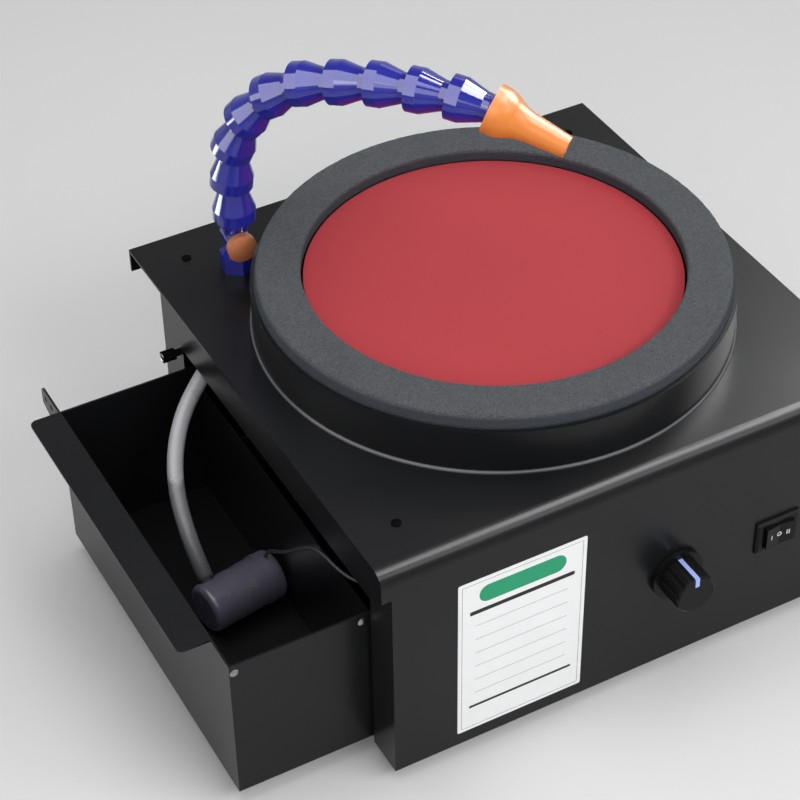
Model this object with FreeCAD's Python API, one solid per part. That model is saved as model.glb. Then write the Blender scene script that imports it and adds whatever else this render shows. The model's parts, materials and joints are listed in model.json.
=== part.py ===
"""Wet disc sharpener: a sheet-metal case with a turning abrasive disc, a foam splash
ring, a jointed coolant hose and a pull-out water tank with a small pump.

Millimetres.  The origin is on the spindle axis at the bench, +X runs to the right
along the front face, +Y to the back and +Z up.  The tank is modelled pulled out.
"""
import FreeCAD
import Part

import math
import os

from FreeCAD import Vector

# Sheet-metal case
SHEET = 1.5
DECK_WIDTH = 295.0
DECK_FRONT = 148.5
DECK_BACK = 145.5
CASE_HEIGHT = 140.0
FRONT_BEND = 8.0
CHEEK_HEIGHT = 17.0
BACK_LIP = 14.0
PANEL_INSET = 5.5
BACK_OVERHANG = 27.5
TOP_FLANGE = 28.0
REAR_FLANGE = 20.0
BASE_FLANGE = 12.0
FLANGE_CORNER = 1.5
VENT_COUNT = 7
VENT_WIDTH = 4.0
VENT_HEIGHT = 24.0
VENT_PITCH = 11.0
VENT_INSET = 60.5
VENT_BOTTOM = 60.0

# Feet and the small screws that hold the case together
FOOT_HEIGHT = 8.0
FOOT_RADIUS = 10.0
FOOT_TAPER = 1.5
FOOT_INSET = 20.0
FOOT_FRONT_INSET = 20.5
FOOT_BACK_INSET = 21.0
FOOT_RECESS = 4.0
SCREW_HEAD_RADIUS = 2.6
SCREW_HEAD_HEIGHT = 1.4
SCREW_RADIUS = 1.5
SCREW_LENGTH = 9.0
SCREW_RIM_SHARE = 0.4
SCREW_CROWN_SHARE = 0.55
HOLE_CLEARANCE = 0.2
DECK_SCREW_INSET = 24.5
DECK_SCREW_FRONT_INSET = 30.0
DECK_SCREW_BACK_INSET = 23.0
BASE_SCREW_BACK_X = 60.0
BASE_SCREW_SIDE_Y = 40.0

# Splash bowl, foam ring and turntable
BOWL_MARGIN = 2.0
BOWL_HEIGHT = 26.0
BOWL_WALL = 1.5
SEAL_SIZE = 1.4
BOWL_RIM_GAP = 8.0
BOWL_COLLAR_INNER = 15.0
BOWL_COLLAR_HEIGHT = 11.0
FOAM_DISC_GAP = 1.2
FOAM_WIDTH = 24.8
FOAM_HEIGHT = 8.0
FOAM_BEVEL = 1.6
PLATTER_THICKNESS = 8.0
PLATTER_HUB_RADIUS = 13.0
PLATTER_HUB_DROP = 12.0
PLATTER_RIM_DROP = 5.0
PLATTER_RIM_WIDTH = 3.0
SLINGER_INNER = 21.0
SLINGER_WALL = 2.0
SLINGER_DROP = 6.0
DISC_RADIUS = 100.0
DISC_OVERHANG = 1.5
DISC_THICKNESS = 1.0
DISC_ABOVE_DECK = 27.0

# Spindle, bearings and their housing
SPINDLE_RADIUS = 6.0
SPINDLE_TOP_COVER = 6.0
RUNNING_FIT = 0.03
SEAT_FIT = 0.02
BEARING_RADIUS = 16.0
BEARING_WIDTH = 10.0
BEARING_GAP = 4.0
BEARING_COVER = 1.5
BEARING_LIP = 3.0
RACE_SHARE = 0.35
RACE_GROOVE = 0.8
HOUSING_WALL = 3.5
HOUSING_FLANGE_RADIUS = 40.0
HOUSING_FLANGE_THICKNESS = 5.0
HOUSING_SCREW_CIRCLE = 30.0
HOUSING_SCREW_RADIUS = 2.5
HOUSING_SCREW_HEAD_RADIUS = 4.5
HOUSING_SCREW_HEAD_HEIGHT = 3.0
SPINDLE_NUT_FLATS = 18.0
SPINDLE_NUT_HEIGHT = 7.0
PLATTER_SCREW_RADIUS = 3.0
PLATTER_SCREW_HEAD_RADIUS = 6.0
PLATTER_SCREW_LENGTH = 22.0

# Belt drive, three to one
DRIVE_PITCH_RADIUS = 12.0
DRIVEN_PITCH_RADIUS = 36.0
BELT_RADIUS = 3.0
BELT_CLEARANCE = 0.15
PULLEY_LAND = 2.0
PULLEY_FLARE = 0.6
PULLEY_WIDTH = 15.0
PULLEY_DROP = 2.0
MOTOR_INSET = 52.5
MOTOR_RADIUS = 25.0
MOTOR_FLOOR_GAP = 12.5
MOTOR_EDGE = 3.0
MOTOR_BOSS_RADIUS = 9.0
MOTOR_BOSS_HEIGHT = 4.0
MOTOR_SHAFT_RADIUS = 3.0
MOTOR_SHAFT_DEPTH = 30.0
MOTOR_SCREW_RADIUS = 2.0
MOTOR_SCREW_HEAD_RADIUS = 3.6
MOTOR_SCREW_HEAD_HEIGHT = 2.4
MOTOR_SCREW_LENGTH = 9.0
MOTOR_SCREW_CIRCLE = 15.0
BRACKET_SHEET = 3.0
BRACKET_HALF_X = 32.0
BRACKET_HALF_Y = 38.0
BRACKET_FOOT = 15.0
BRACKET_SCREW_X = 19.0
MOTOR_TO_PULLEY = 8.0

# Speed knob, switch and the control board behind the front face
CONTROL_HEIGHT = 69.8
KNOB_X = 23.0
KNOB_FLANGE_RADIUS = 15.2
KNOB_FLANGE_THICKNESS = 2.6
KNOB_RADIUS = 11.6
KNOB_LENGTH = 19.0
KNOB_GAP = 0.5
KNOB_EDGE = 1.2
KNOB_FLUTES = 12
KNOB_FLUTE_RADIUS = 2.2
KNOB_FLUTE_DEPTH = 0.7
POINTER_WIDTH = 2.5
POINTER_DEPTH = 1.0
POINTER_FACE_LENGTH = 5.8
SHAFT_RADIUS = 3.0
POT_RADIUS = 12.0
POT_DEPTH = 9.0
POT_BUSHING_RADIUS = 4.5
POT_BUSHING_PROUD = 0.3
SHAFT_GRIP = 12.0
BOARD_WIDTH = 76.0
BOARD_HEIGHT = 60.0
BOARD_THICKNESS = 1.6
BOARD_STANDOFF_RADIUS = 3.0
BOARD_MARGIN = 5.0
TERMINAL_WIDTH = 16.0
TERMINAL_HEIGHT = 11.0
TERMINAL_DEPTH = 9.0
COIL_RADIUS = 8.0
COIL_HEIGHT = 7.0
SINK_WIDTH = 30.0
SINK_FINS = 5
SINK_FIN = 2.0
SINK_DEPTH = 8.0
SINK_HEIGHT = 22.0
SWITCH_X = 86.0
BEZEL_WIDTH = 26.5
BEZEL_HEIGHT = 20.5
BEZEL_PROUD = 2.4
BEZEL_BEVEL = 1.2
SWITCH_BODY_WIDTH = 22.0
SWITCH_BODY_HEIGHT = 17.0
SWITCH_BODY_DEPTH = 15.0
ROCKER_RADIUS = 8.6
ROCKER_HEIGHT = 13.2
ROCKER_PROUD = 4.6
ROCKER_DISH = 1.3
ROCKER_CLEARANCE = 0.4
ROCKER_SWING = 10.0
TURN_MARGIN = 2.0

# Power inlet in the back panel
INLET_X = 20.0
INLET_HEIGHT = 45.0
INLET_RADIUS = 5.5
INLET_NUT_RADIUS = 8.0
INLET_NUT_THICKNESS = 2.5
INLET_DEPTH = 14.0
INLET_BORE = 2.75
INLET_BORE_DEPTH = 9.0

# Coolant valve, drain and the nuts under the deck
VALVE_BOWL_GAP = 15.9
VALVE_BACK_GAP = 15.5
VALVE_TURN = -8.0
VALVE_HEX_FLATS = 17.5
VALVE_HEX_HEIGHT = 10.0
VALVE_NECK_RADIUS = 6.3
VALVE_BORE_RADIUS = 3.2
VALVE_BARREL_RADIUS = 7.0
VALVE_BARREL_HEIGHT = 19.5
VALVE_BARREL_REACH = 7.6
VALVE_FLARE_HEIGHT = 26.0
VALVE_COLLAR_RADIUS = 9.6
VALVE_COLLAR_GAP = 0.4
VALVE_STEM_RADIUS = 6.5
VALVE_STEM_DROP = 20.5
PLUG_RADIUS = 4.0
HANDLE_RADIUS = 8.2
HANDLE_THICKNESS = 4.2
HANDLE_CROWN = 2.2
HANDLE_GAP = 0.4
NUT_FLATS = 19.0
NUT_HEIGHT = 4.0
NUT_ROOM = 1.0
ELBOW_RADIUS = 8.5
ELBOW_HOLD = 7.0
ELBOW_TURN = 2.0
ELBOW_BOTTOM = 6.0
BARB_LENGTH = 26.0
BARB_GRIP = 7.0
DRAIN_X = -88.0
DRAIN_Y = -40.0
DRAIN_FLANGE_RADIUS = 11.0
DRAIN_FLANGE_THICKNESS = 1.5
DRAIN_BORE_RADIUS = 5.0
DRAIN_LENGTH = 30.0

# Jointed coolant hose: the turn at each ball, from the valve to the nozzle
HOSE_HEADING = -50.5
HOSE_TURNS = (0.0, 7.0, 17.0, 17.0, 17.0, 17.0, 5.0, 6.0, 4.0, 7.0, 12.0)
HOSE_MAX_TURN = 20.0
HOSE_START = 37.5
HOSE_PITCH = 21.4
BAND_RADIUS = 11.7
BAND_BEHIND = 4.0
BAND_AHEAD = 2.5
MOUTH_RADIUS = 10.4
MOUTH_DEPTH = 3.0
CONE_RADIUS = 8.0
CONE_TO_BALL = 7.7
THROAT_TO_BALL = 4.2
BALL_RADIUS = 8.6
BALL_AHEAD = 4.5
BALL_FIT = 0.06
HOSE_BORE_RADIUS = 4.5
NOZZLE_RADIUS = 13.0
NOZZLE_BAND = 2.0
NOZZLE_SHOULDER_RADIUS = 10.4
NOZZLE_SHOULDER = 8.0
NOZZLE_WAIST_RADIUS = 7.7
NOZZLE_WAIST = 17.0
NOZZLE_BULGE = 0.8
NOZZLE_HOLLOW = 0.45
NOZZLE_TIP_RADIUS = 5.7
NOZZLE_LENGTH = 38.0
NOZZLE_BORE_RADIUS = 3.6
NOZZLE_BORE_STEP = 12.0

# Water tank drawer in the left side
DRAWER_WALL = 1.2
DRAWER_DEPTH = 82.0
DRAWER_LENGTH = 213.5
DRAWER_HEIGHT = 90.7
DRAWER_INNER_HEIGHT = 78.0
DRAWER_SETBACK = 25.0
DRAWER_LIFT = 0.8
DRAWER_TRAVEL = 73.5
CLOSING_GAP = 0.8
OPENING_SIDE = 2.2
OPENING_ABOVE = 11.0
LIP_WIDTH = 17.0
LIP_FRONT_GAP = 21.0
LIP_CORNER = 4.0
EAR_LENGTH = 25.0
EAR_HEIGHT = 21.0
EAR_TIP_HEIGHT = 11.0
EAR_CORNER = 2.0
EAR_HOLE_RADIUS = 1.7
EAR_HOLE_DROP = 5.5
EAR_HOLE_PITCH = 8.0
RIVET_RADIUS = 2.4
RIVET_HEIGHT = 0.9
RIVET_DROP = 5.0
RIVET_LEFT_INSET = 2.8
RIVET_RIGHT_INSET = 10.0
ARM_THICKNESS = 2.0
ARM_LENGTH = 95.0
ARM_TOP = 40.0
ARM_FOOT = 14.0
ARM_INSET = 3.0
RUNNER_WALL = 1.5
RUNNER_GAP = 0.4
RUNNER_TOP = 24.0
RUNNER_LENGTH = 94.0
THUMB_SETBACK = 5.0
THUMB_DROP = 40.5
THUMB_RADIUS = 3.4
THUMB_HEAD = 7.5
THUMB_NECK_RADIUS = 2.0
THUMB_NECK = 3.0
THUMB_TIP = 6.0
THUMB_FLUTES = 16
THUMB_FLUTE_RADIUS = 0.5

# Pump, clear water hose and pump wire
PUMP_RADIUS = 14.0
PUMP_LENGTH = 46.5
PUMP_EDGE = 3.5
PUMP_CAP_LENGTH = 11.0
PUMP_CAP_STEP = 0.4
PUMP_LEFT_GAP = 32.2
PUMP_FRONT_GAP = 109.0
PUMP_HEADING = 10.0
PUMP_LIFT = 0.1
PUMP_OUTLET_INSET = 8.3
PUMP_OUTLET_LEAN = 35.0
PUMP_OUTLET_PROUD = 7.5
PUMP_OUTLET_GRIP = 6.0
PUMP_WIRE_INSET = 6.0
WIRE_END_GAP = 0.6
WATER_HOSE_RADIUS = 4.5
WATER_HOSE_BORE = 3.2
BARB_FIT = 0.05
WIRE_RADIUS = 1.0
HOSE_END_RUN = 14.0
CORNER_SHARE = 0.45
ELBOW_AIM = Vector(-0.72, -0.58, -0.38)
WATER_HOSE_ROUTE = (
    Vector(-179.6, 15.5, 60.0),
    Vector(-176.6, 31.5, 69.0),
    Vector(-171.6, 44.0, 79.4),
    Vector(-163.5, 56.0, 88.6),
    Vector(-153.0, 66.0, 97.0),
    Vector(-139.4, 74.8, 104.6),
)
WIRE_ROUTE = (
    Vector(-144.3, -11.5, 48.6),
    Vector(-143.9, -19.5, 54.6),
    Vector(-143.3, -29.5, 62.0),
    Vector(-142.4, -40.5, 72.4),
    Vector(-141.5, -51.5, 83.0),
    Vector(-141.0, -61.5, 91.6),
    Vector(-140.4, -72.0, 96.0),
    Vector(-139.2, -83.0, 95.4),
    Vector(-135.6, -94.0, 94.4),
    Vector(-127.0, -104.4, 93.6),
    Vector(-113.0, -112.8, 93.0),
    Vector(-95.0, -119.8, 91.6),
    Vector(-75.0, -124.8, 89.0),
    Vector(-54.0, -128.6, 85.6),
    Vector(-32.0, -130.6, 81.0),
)

# Places that follow from the sizes above
UP = Vector(0, 0, 1)
TOUCH = 0.01
HALF_ROOT = math.sqrt(0.5)
DECK_TOP = FOOT_HEIGHT + CASE_HEIGHT
DECK_UNDER = DECK_TOP - SHEET
BASE_TOP = FOOT_HEIGHT + SHEET
HALF_DECK = DECK_WIDTH / 2
HALF_CASE = HALF_DECK - PANEL_INSET
INSIDE_X = HALF_CASE - SHEET
INSIDE_FRONT = -DECK_FRONT + SHEET
BACK_PANEL = DECK_BACK - BACK_OVERHANG
INSIDE_BACK = BACK_PANEL - SHEET
VENT_MIDDLE_X = INSIDE_X - VENT_INSET
FOOT_X = HALF_CASE - FOOT_INSET
FOOT_FRONT_Y = -DECK_FRONT + FOOT_FRONT_INSET
FOOT_BACK_Y = BACK_PANEL - FOOT_BACK_INSET
DECK_SCREW_X = HALF_DECK - DECK_SCREW_INSET
DECK_SCREW_FRONT_Y = -DECK_FRONT + DECK_SCREW_FRONT_INSET
DECK_SCREW_BACK_Y = DECK_BACK - DECK_SCREW_BACK_INSET
CHEEK_BOTTOM = DECK_TOP - CHEEK_HEIGHT
BOWL_FLOOR = DECK_TOP + BOWL_WALL
BOWL_TOP = DECK_TOP + BOWL_HEIGHT
BOWL_RIM_INNER = DISC_RADIUS + BOWL_RIM_GAP
FOAM_INNER = DISC_RADIUS + FOAM_DISC_GAP
FOAM_OUTER = FOAM_INNER + FOAM_WIDTH
BOWL_RADIUS = FOAM_OUTER + BOWL_MARGIN
PLATTER_RADIUS = DISC_RADIUS - DISC_OVERHANG
PLATTER_TOP = DECK_TOP + DISC_ABOVE_DECK - DISC_THICKNESS
PLATTER_UNDER = PLATTER_TOP - PLATTER_THICKNESS
SPINDLE_TOP = PLATTER_TOP - SPINDLE_TOP_COVER
HOUSING_TOP = DECK_UNDER
FLANGE_UNDER = HOUSING_TOP - HOUSING_FLANGE_THICKNESS
UPPER_BEARING = HOUSING_TOP - BEARING_COVER - BEARING_WIDTH
LOWER_BEARING = UPPER_BEARING - BEARING_GAP - BEARING_WIDTH
HOUSING_BOTTOM = LOWER_BEARING
PULLEY_TOP = HOUSING_BOTTOM - PULLEY_DROP
PULLEY_BOTTOM = PULLEY_TOP - PULLEY_WIDTH
BELT_HEIGHT = PULLEY_TOP - PULLEY_WIDTH / 2
SPINDLE_BOTTOM = PULLEY_BOTTOM - SPINDLE_NUT_HEIGHT
MOTOR_FACE = PULLEY_BOTTOM - MOTOR_TO_PULLEY - BRACKET_SHEET
BRACKET_TOP = MOTOR_FACE + BRACKET_SHEET
MOTOR_X = INSIDE_X - MOTOR_INSET
MOTOR_LENGTH = MOTOR_FACE - BASE_TOP - MOTOR_FLOOR_GAP
DRAWER_FLOOR = BASE_TOP + DRAWER_LIFT
DRAWER_TOP = DRAWER_FLOOR + DRAWER_HEIGHT
DRAWER_FRONT = -DECK_FRONT + DRAWER_SETBACK
DRAWER_BACK = DRAWER_FRONT + DRAWER_LENGTH
DRAWER_LEFT = -HALF_CASE - CLOSING_GAP - DRAWER_WALL - DRAWER_TRAVEL
DRAWER_RIGHT = DRAWER_LEFT + DRAWER_DEPTH
OPENING_FRONT = DRAWER_FRONT - OPENING_SIDE
OPENING_BACK = DRAWER_BACK + OPENING_SIDE
OPENING_TOP = DRAWER_TOP + OPENING_ABOVE
ARM_BOTTOM = BASE_TOP + RUNNER_WALL + RUNNER_GAP
RUNNER_START = DRAWER_RIGHT + DRAWER_TRAVEL + 2 * RUNNER_GAP
THUMB_Y = OPENING_BACK + THUMB_SETBACK
THUMB_Z = DECK_TOP - THUMB_DROP
VALVE_Y = BACK_PANEL - VALVE_BACK_GAP
VALVE_X = -math.sqrt((BOWL_RADIUS + VALVE_BOWL_GAP) ** 2 - VALVE_Y ** 2)
VALVE_BASE = Vector(VALVE_X, VALVE_Y, DECK_TOP)
PUMP_X = DRAWER_LEFT + PUMP_LEFT_GAP
PUMP_Y = DRAWER_FRONT + PUMP_FRONT_GAP
PUMP_OUTLET_REACH = PUMP_RADIUS + PUMP_OUTLET_PROUD
PUMP_Z = DRAWER_FLOOR + DRAWER_WALL + PUMP_LIFT + PUMP_RADIUS + PUMP_CAP_STEP
BOARD_FRONT = INSIDE_FRONT + POT_DEPTH
BOARD_BACK = BOARD_FRONT + BOARD_THICKNESS
BOARD_LEFT = KNOB_X - BOARD_WIDTH / 2
BOARD_BOTTOM = CONTROL_HEIGHT - BOARD_HEIGHT / 2


def block(x0, x1, y0, y1, z0, z1):
    """A box between two opposite corners."""
    return Part.makeBox(x1 - x0, y1 - y0, z1 - z0, Vector(x0, y0, z0))


def rod(radius, start, end):
    """A round bar from one point to another."""
    run = end - start
    return Part.makeCylinder(radius, run.Length, start, run)


def upright(radius, x, y, z0, z1):
    """A round bar that stands along Z."""
    return rod(radius, Vector(x, y, z0), Vector(x, y, z1))


def turned(profile, lift=0.0):
    """A body turned about Z from (radius, height) points; a third value is an arc's middle."""
    corners = [Vector(point[0], 0, point[1] + lift) for point in profile]
    edges = []
    for index, start in enumerate(corners):
        end = corners[(index + 1) % len(corners)]
        bulge = profile[(index + 1) % len(corners)][2:]
        if bulge:
            middle = Vector(bulge[0][0], 0, bulge[0][1] + lift)
            edges.append(Part.Arc(start, middle, end).toShape())
        else:
            edges.append(Part.LineSegment(start, end).toShape())
    return Part.Face(Part.Wire(edges)).revolve(Vector(), UP, 360)


def dome_middle(radius, base, height):
    """The point halfway up the arc of a round dome, from its edge to its top."""
    ball = (radius ** 2 + height ** 2) / (2 * height)
    half_angle = math.asin(radius / ball) / 2
    return ball * math.sin(half_angle), base + height - ball * (1 - math.cos(half_angle))


def bowed(start, end, bulge):
    """A turned profile's end point with the middle of an arc that bows out from its start."""
    run = math.dist(start, end)
    radius = (start[0] + end[0]) / 2 + bulge * (end[1] - start[1]) / run
    height = (start[1] + end[1]) / 2 - bulge * (end[0] - start[0]) / run
    return (*end, (radius, height))


def prism(points, along):
    """A flat outline of points pushed along a direction."""
    return Part.Face(Part.makePolygon(list(points) + [points[0]])).extrude(along)


def hexagon(flats, x, y, z0, z1):
    """A six-sided bar along Z with two flats facing X."""
    corner = flats / math.sqrt(3)
    angles = [math.radians(30 + 60 * side) for side in range(6)]
    points = [Vector(x + corner * math.cos(a), y + corner * math.sin(a), z0) for a in angles]
    return prism(points, Vector(0, 0, z1 - z0))


def stood_on(shape, origin, axis):
    """A body made about Z, moved so that its Z runs along an axis from an origin."""
    moved = shape.copy()
    moved.Placement = FreeCAD.Placement(origin, FreeCAD.Rotation(UP, axis)).multiply(shape.Placement)
    return moved


def joined(first, *others):
    """One body from several that touch."""
    return first.fuse(list(others)).removeSplitter()


def ring_of(count, shape, centre, axis):
    """Copies of a body turned evenly about an axis."""
    copies = []
    for index in range(count):
        copy = shape.copy()
        copy.rotate(centre, axis, 360.0 * index / count)
        copies.append(copy)
    return copies


def screw(head_radius, head_height, radius, length):
    """A button-head screw that points down, with its head's seat at height zero."""
    head = turned([
        (0, 0), (head_radius, 0), (head_radius, head_height * SCREW_RIM_SHARE),
        (head_radius * SCREW_CROWN_SHARE, head_height), (0, head_height),
    ])
    return joined(head, Part.makeCylinder(radius, length, Vector(0, 0, -length)))


def case_screw(x, y, seat, facing):
    """One of the identical small case screws, its head facing along a direction."""
    shape = screw(SCREW_HEAD_RADIUS, SCREW_HEAD_HEIGHT, SCREW_RADIUS, SCREW_LENGTH)
    return stood_on(shape, Vector(x, y, seat), facing)


def deck_screw_places():
    """Centres of the four screws through the deck."""
    return [(side * DECK_SCREW_X, y) for side in (-1, 1) for y in (DECK_SCREW_FRONT_Y, DECK_SCREW_BACK_Y)]


def base_screw_places():
    """Centres of the screws that hold the panels' lower flanges to the base."""
    flange_middle = INSIDE_X - BASE_FLANGE / 2
    back_flange = INSIDE_BACK - BASE_FLANGE / 2
    front_strip = (INSIDE_FRONT + OPENING_FRONT) / 2
    back_strip = (OPENING_BACK + INSIDE_BACK) / 2
    return [
        (-flange_middle, front_strip), (-flange_middle, back_strip),
        (flange_middle, -BASE_SCREW_SIDE_Y), (flange_middle, BASE_SCREW_SIDE_Y),
        (-BASE_SCREW_BACK_X, back_flange), (BASE_SCREW_BACK_X, back_flange),
    ]


def foot_places():
    """Centres of the four feet."""
    return [(side * FOOT_X, y) for side in (-1, 1) for y in (FOOT_FRONT_Y, FOOT_BACK_Y)]


def bracket_screw_places():
    """Centres of the screws through the motor bracket's feet."""
    reach = BRACKET_HALF_Y + BRACKET_FOOT / 2
    return [(MOTOR_X + side * BRACKET_SCREW_X, end * reach) for side in (-1, 1) for end in (-1, 1)]


def housing_screw_places():
    """Centres of the screws that clamp bowl, deck and bearing housing together."""
    angles = [math.radians(45 + 90 * quarter) for quarter in range(4)]
    return [(HOUSING_SCREW_CIRCLE * math.cos(a), HOUSING_SCREW_CIRCLE * math.sin(a)) for a in angles]


def nut_places():
    """Centres of the nuts under the deck, for the valve's stem and the drain."""
    return [(VALVE_X, VALVE_Y), (DRAIN_X, DRAIN_Y)]


def drilled(shape, places, radius, z0, z1):
    """A body with a round hole along Z at each place."""
    return shape.cut([upright(radius, x, y, z0, z1) for x, y in places])


def folded_sheet():
    """Deck and front face as one sheet with a round front fold, before it is trimmed."""
    front = -DECK_FRONT
    fold = FRONT_BEND
    inner = FRONT_BEND - SHEET
    centre = Vector(-HALF_DECK, front + fold, DECK_TOP - fold)

    def at(y, z):
        return Vector(-HALF_DECK, y, z)

    def on_fold(radius):
        return centre + Vector(0, -radius * HALF_ROOT, radius * HALF_ROOT)

    edges = [
        Part.LineSegment(at(DECK_BACK, DECK_TOP), at(front + fold, DECK_TOP)),
        Part.Arc(at(front + fold, DECK_TOP), on_fold(fold), at(front, DECK_TOP - fold)),
        Part.LineSegment(at(front, DECK_TOP - fold), at(front, FOOT_HEIGHT)),
        Part.LineSegment(at(front, FOOT_HEIGHT), at(INSIDE_FRONT, FOOT_HEIGHT)),
        Part.LineSegment(at(INSIDE_FRONT, FOOT_HEIGHT), at(INSIDE_FRONT, DECK_TOP - fold)),
        Part.Arc(at(INSIDE_FRONT, DECK_TOP - fold), on_fold(inner), at(front + fold, DECK_UNDER)),
        Part.LineSegment(at(front + fold, DECK_UNDER), at(DECK_BACK, DECK_UNDER)),
        Part.LineSegment(at(DECK_BACK, DECK_UNDER), at(DECK_BACK, DECK_TOP)),
    ]
    outline = Part.Wire([edge.toShape() for edge in edges])
    return Part.Face(outline).extrude(Vector(DECK_WIDTH, 0, 0))


def front_cheek(x0):
    """The turned-down end of the deck's front corner, rounded like the front fold."""
    cheek = block(x0, x0 + SHEET, -DECK_FRONT, OPENING_FRONT, CHEEK_BOTTOM, DECK_TOP)
    edges = [
        edge for edge in cheek.Edges
        if abs(edge.BoundBox.YMax + DECK_FRONT) < TOUCH and edge.BoundBox.ZMin > DECK_TOP - TOUCH
    ]
    return cheek.makeFillet(FRONT_BEND, edges)


def deck_cover():
    """Deck, front face, front cheeks and back lip, folded from one sheet."""
    sheet = folded_sheet()
    low = FOOT_HEIGHT - SHEET
    for x0, x1 in ((-HALF_DECK, -HALF_CASE), (HALF_CASE, HALF_DECK)):
        sheet = sheet.cut(block(x0, x1, -DECK_FRONT, INSIDE_FRONT, low, CHEEK_BOTTOM))
    lip = block(-HALF_DECK, HALF_DECK, DECK_BACK - SHEET, DECK_BACK, DECK_TOP - BACK_LIP, DECK_TOP)
    cover = joined(sheet, lip, front_cheek(-HALF_DECK), front_cheek(HALF_DECK - SHEET))
    top = DECK_TOP + SHEET
    under = DECK_UNDER - SHEET
    cover = drilled(cover, deck_screw_places(), SCREW_RADIUS + HOLE_CLEARANCE, under, top)
    cover = drilled(cover, housing_screw_places(), HOUSING_SCREW_RADIUS + HOLE_CLEARANCE, under, top)
    cover = drilled(cover, [(0, 0)], BOWL_COLLAR_INNER, under, top)
    cover = drilled(cover, nut_places(), VALVE_STEM_RADIUS + HOLE_CLEARANCE, under, top)
    front_hole = rod(
        POT_BUSHING_RADIUS + HOLE_CLEARANCE,
        Vector(KNOB_X, -DECK_FRONT - SHEET, CONTROL_HEIGHT),
        Vector(KNOB_X, INSIDE_FRONT + SHEET, CONTROL_HEIGHT),
    )
    half_width = SWITCH_BODY_WIDTH / 2 + HOLE_CLEARANCE
    half_height = SWITCH_BODY_HEIGHT / 2 + HOLE_CLEARANCE
    switch_hole = block(
        SWITCH_X - half_width, SWITCH_X + half_width, -DECK_FRONT - SHEET, INSIDE_FRONT + SHEET,
        CONTROL_HEIGHT - half_height, CONTROL_HEIGHT + half_height,
    )
    return cover.cut([front_hole, switch_hole])


def base_plate():
    """The flat floor of the case."""
    plate = block(-INSIDE_X, INSIDE_X, INSIDE_FRONT, INSIDE_BACK, FOOT_HEIGHT, BASE_TOP)
    places = base_screw_places() + foot_places() + bracket_screw_places()
    return drilled(plate, places, SCREW_RADIUS + HOLE_CLEARANCE, 0, 2 * BASE_TOP)


def side_wall(side, lower_flanges):
    """A side panel with its inward top flange and lower flanges; side is -1 left, 1 right."""
    def across(x0, x1, *rest):
        return block(min(side * x0, side * x1), max(side * x0, side * x1), *rest)

    wall = across(INSIDE_X, HALF_CASE, INSIDE_FRONT, BACK_PANEL, FOOT_HEIGHT, DECK_UNDER)
    fold_end = -DECK_FRONT + FRONT_BEND
    top = across(HALF_CASE - TOP_FLANGE, INSIDE_X, fold_end, INSIDE_BACK, DECK_UNDER - SHEET, DECK_UNDER)
    pieces = [top]
    for y0, y1 in lower_flanges:
        pieces.append(across(INSIDE_X - BASE_FLANGE, INSIDE_X, y0, y1, BASE_TOP, BASE_TOP + SHEET))
    panel = joined(wall, *pieces)
    fold_room = across(0, HALF_DECK, -DECK_FRONT, fold_end, DECK_TOP - FRONT_BEND, DECK_TOP)
    hole = SCREW_RADIUS + HOLE_CLEARANCE / 2
    panel = panel.cut(fold_room)
    nut_radius = NUT_FLATS / math.sqrt(3)
    panel = drilled(panel, nut_places(), nut_radius + NUT_ROOM, DECK_UNDER - NUT_HEIGHT, DECK_TOP)
    panel = drilled(panel, deck_screw_places(), hole, DECK_UNDER - 2 * SHEET, DECK_TOP)
    return drilled(panel, base_screw_places(), hole, 0, BASE_TOP + 2 * SHEET)


def left_side_panel():
    """The left side, open at the bottom where the tank slides in."""
    strips = ((INSIDE_FRONT, OPENING_FRONT), (OPENING_BACK, INSIDE_BACK))
    panel = side_wall(-1, strips)
    opening = block(-HALF_DECK, -INSIDE_X + SHEET, OPENING_FRONT, OPENING_BACK, 0, OPENING_TOP)
    thumb_hole = rod(
        THUMB_NECK_RADIUS + HOLE_CLEARANCE / 2,
        Vector(-HALF_DECK, THUMB_Y, THUMB_Z), Vector(-INSIDE_X + SHEET, THUMB_Y, THUMB_Z),
    )
    return panel.cut([opening, thumb_hole])


def right_side_panel():
    """The plain right side."""
    return side_wall(1, ((INSIDE_FRONT, INSIDE_BACK),))


def back_panel():
    """The recessed back with a rearward top flange, cooling slots and the inlet hole."""
    wall = block(-INSIDE_X, INSIDE_X, INSIDE_BACK, BACK_PANEL, FOOT_HEIGHT, DECK_UNDER)
    top = block(
        -INSIDE_X, INSIDE_X, BACK_PANEL, BACK_PANEL + REAR_FLANGE, DECK_UNDER - SHEET, DECK_UNDER
    )
    reach = INSIDE_X - BASE_FLANGE - FLANGE_CORNER
    bottom = block(-reach, reach, INSIDE_BACK - BASE_FLANGE, INSIDE_BACK, BASE_TOP, BASE_TOP + SHEET)
    panel = joined(wall, top, bottom)
    inlet = rod(
        INLET_RADIUS + HOLE_CLEARANCE,
        Vector(INLET_X, INSIDE_BACK - SHEET, INLET_HEIGHT),
        Vector(INLET_X, BACK_PANEL + SHEET, INLET_HEIGHT),
    )
    cuts = [inlet]
    for index in range(VENT_COUNT):
        x = VENT_MIDDLE_X + (index - (VENT_COUNT - 1) / 2) * VENT_PITCH
        cuts.append(block(
            x - VENT_WIDTH / 2, x + VENT_WIDTH / 2, INSIDE_BACK - SHEET, BACK_PANEL + SHEET,
            VENT_BOTTOM, VENT_BOTTOM + VENT_HEIGHT,
        ))
    hole = SCREW_RADIUS + HOLE_CLEARANCE / 2
    panel = drilled(panel.cut(cuts), deck_screw_places(), hole, DECK_UNDER - 2 * SHEET, DECK_TOP)
    return drilled(panel, base_screw_places(), hole, 0, BASE_TOP + 2 * SHEET)


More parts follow.
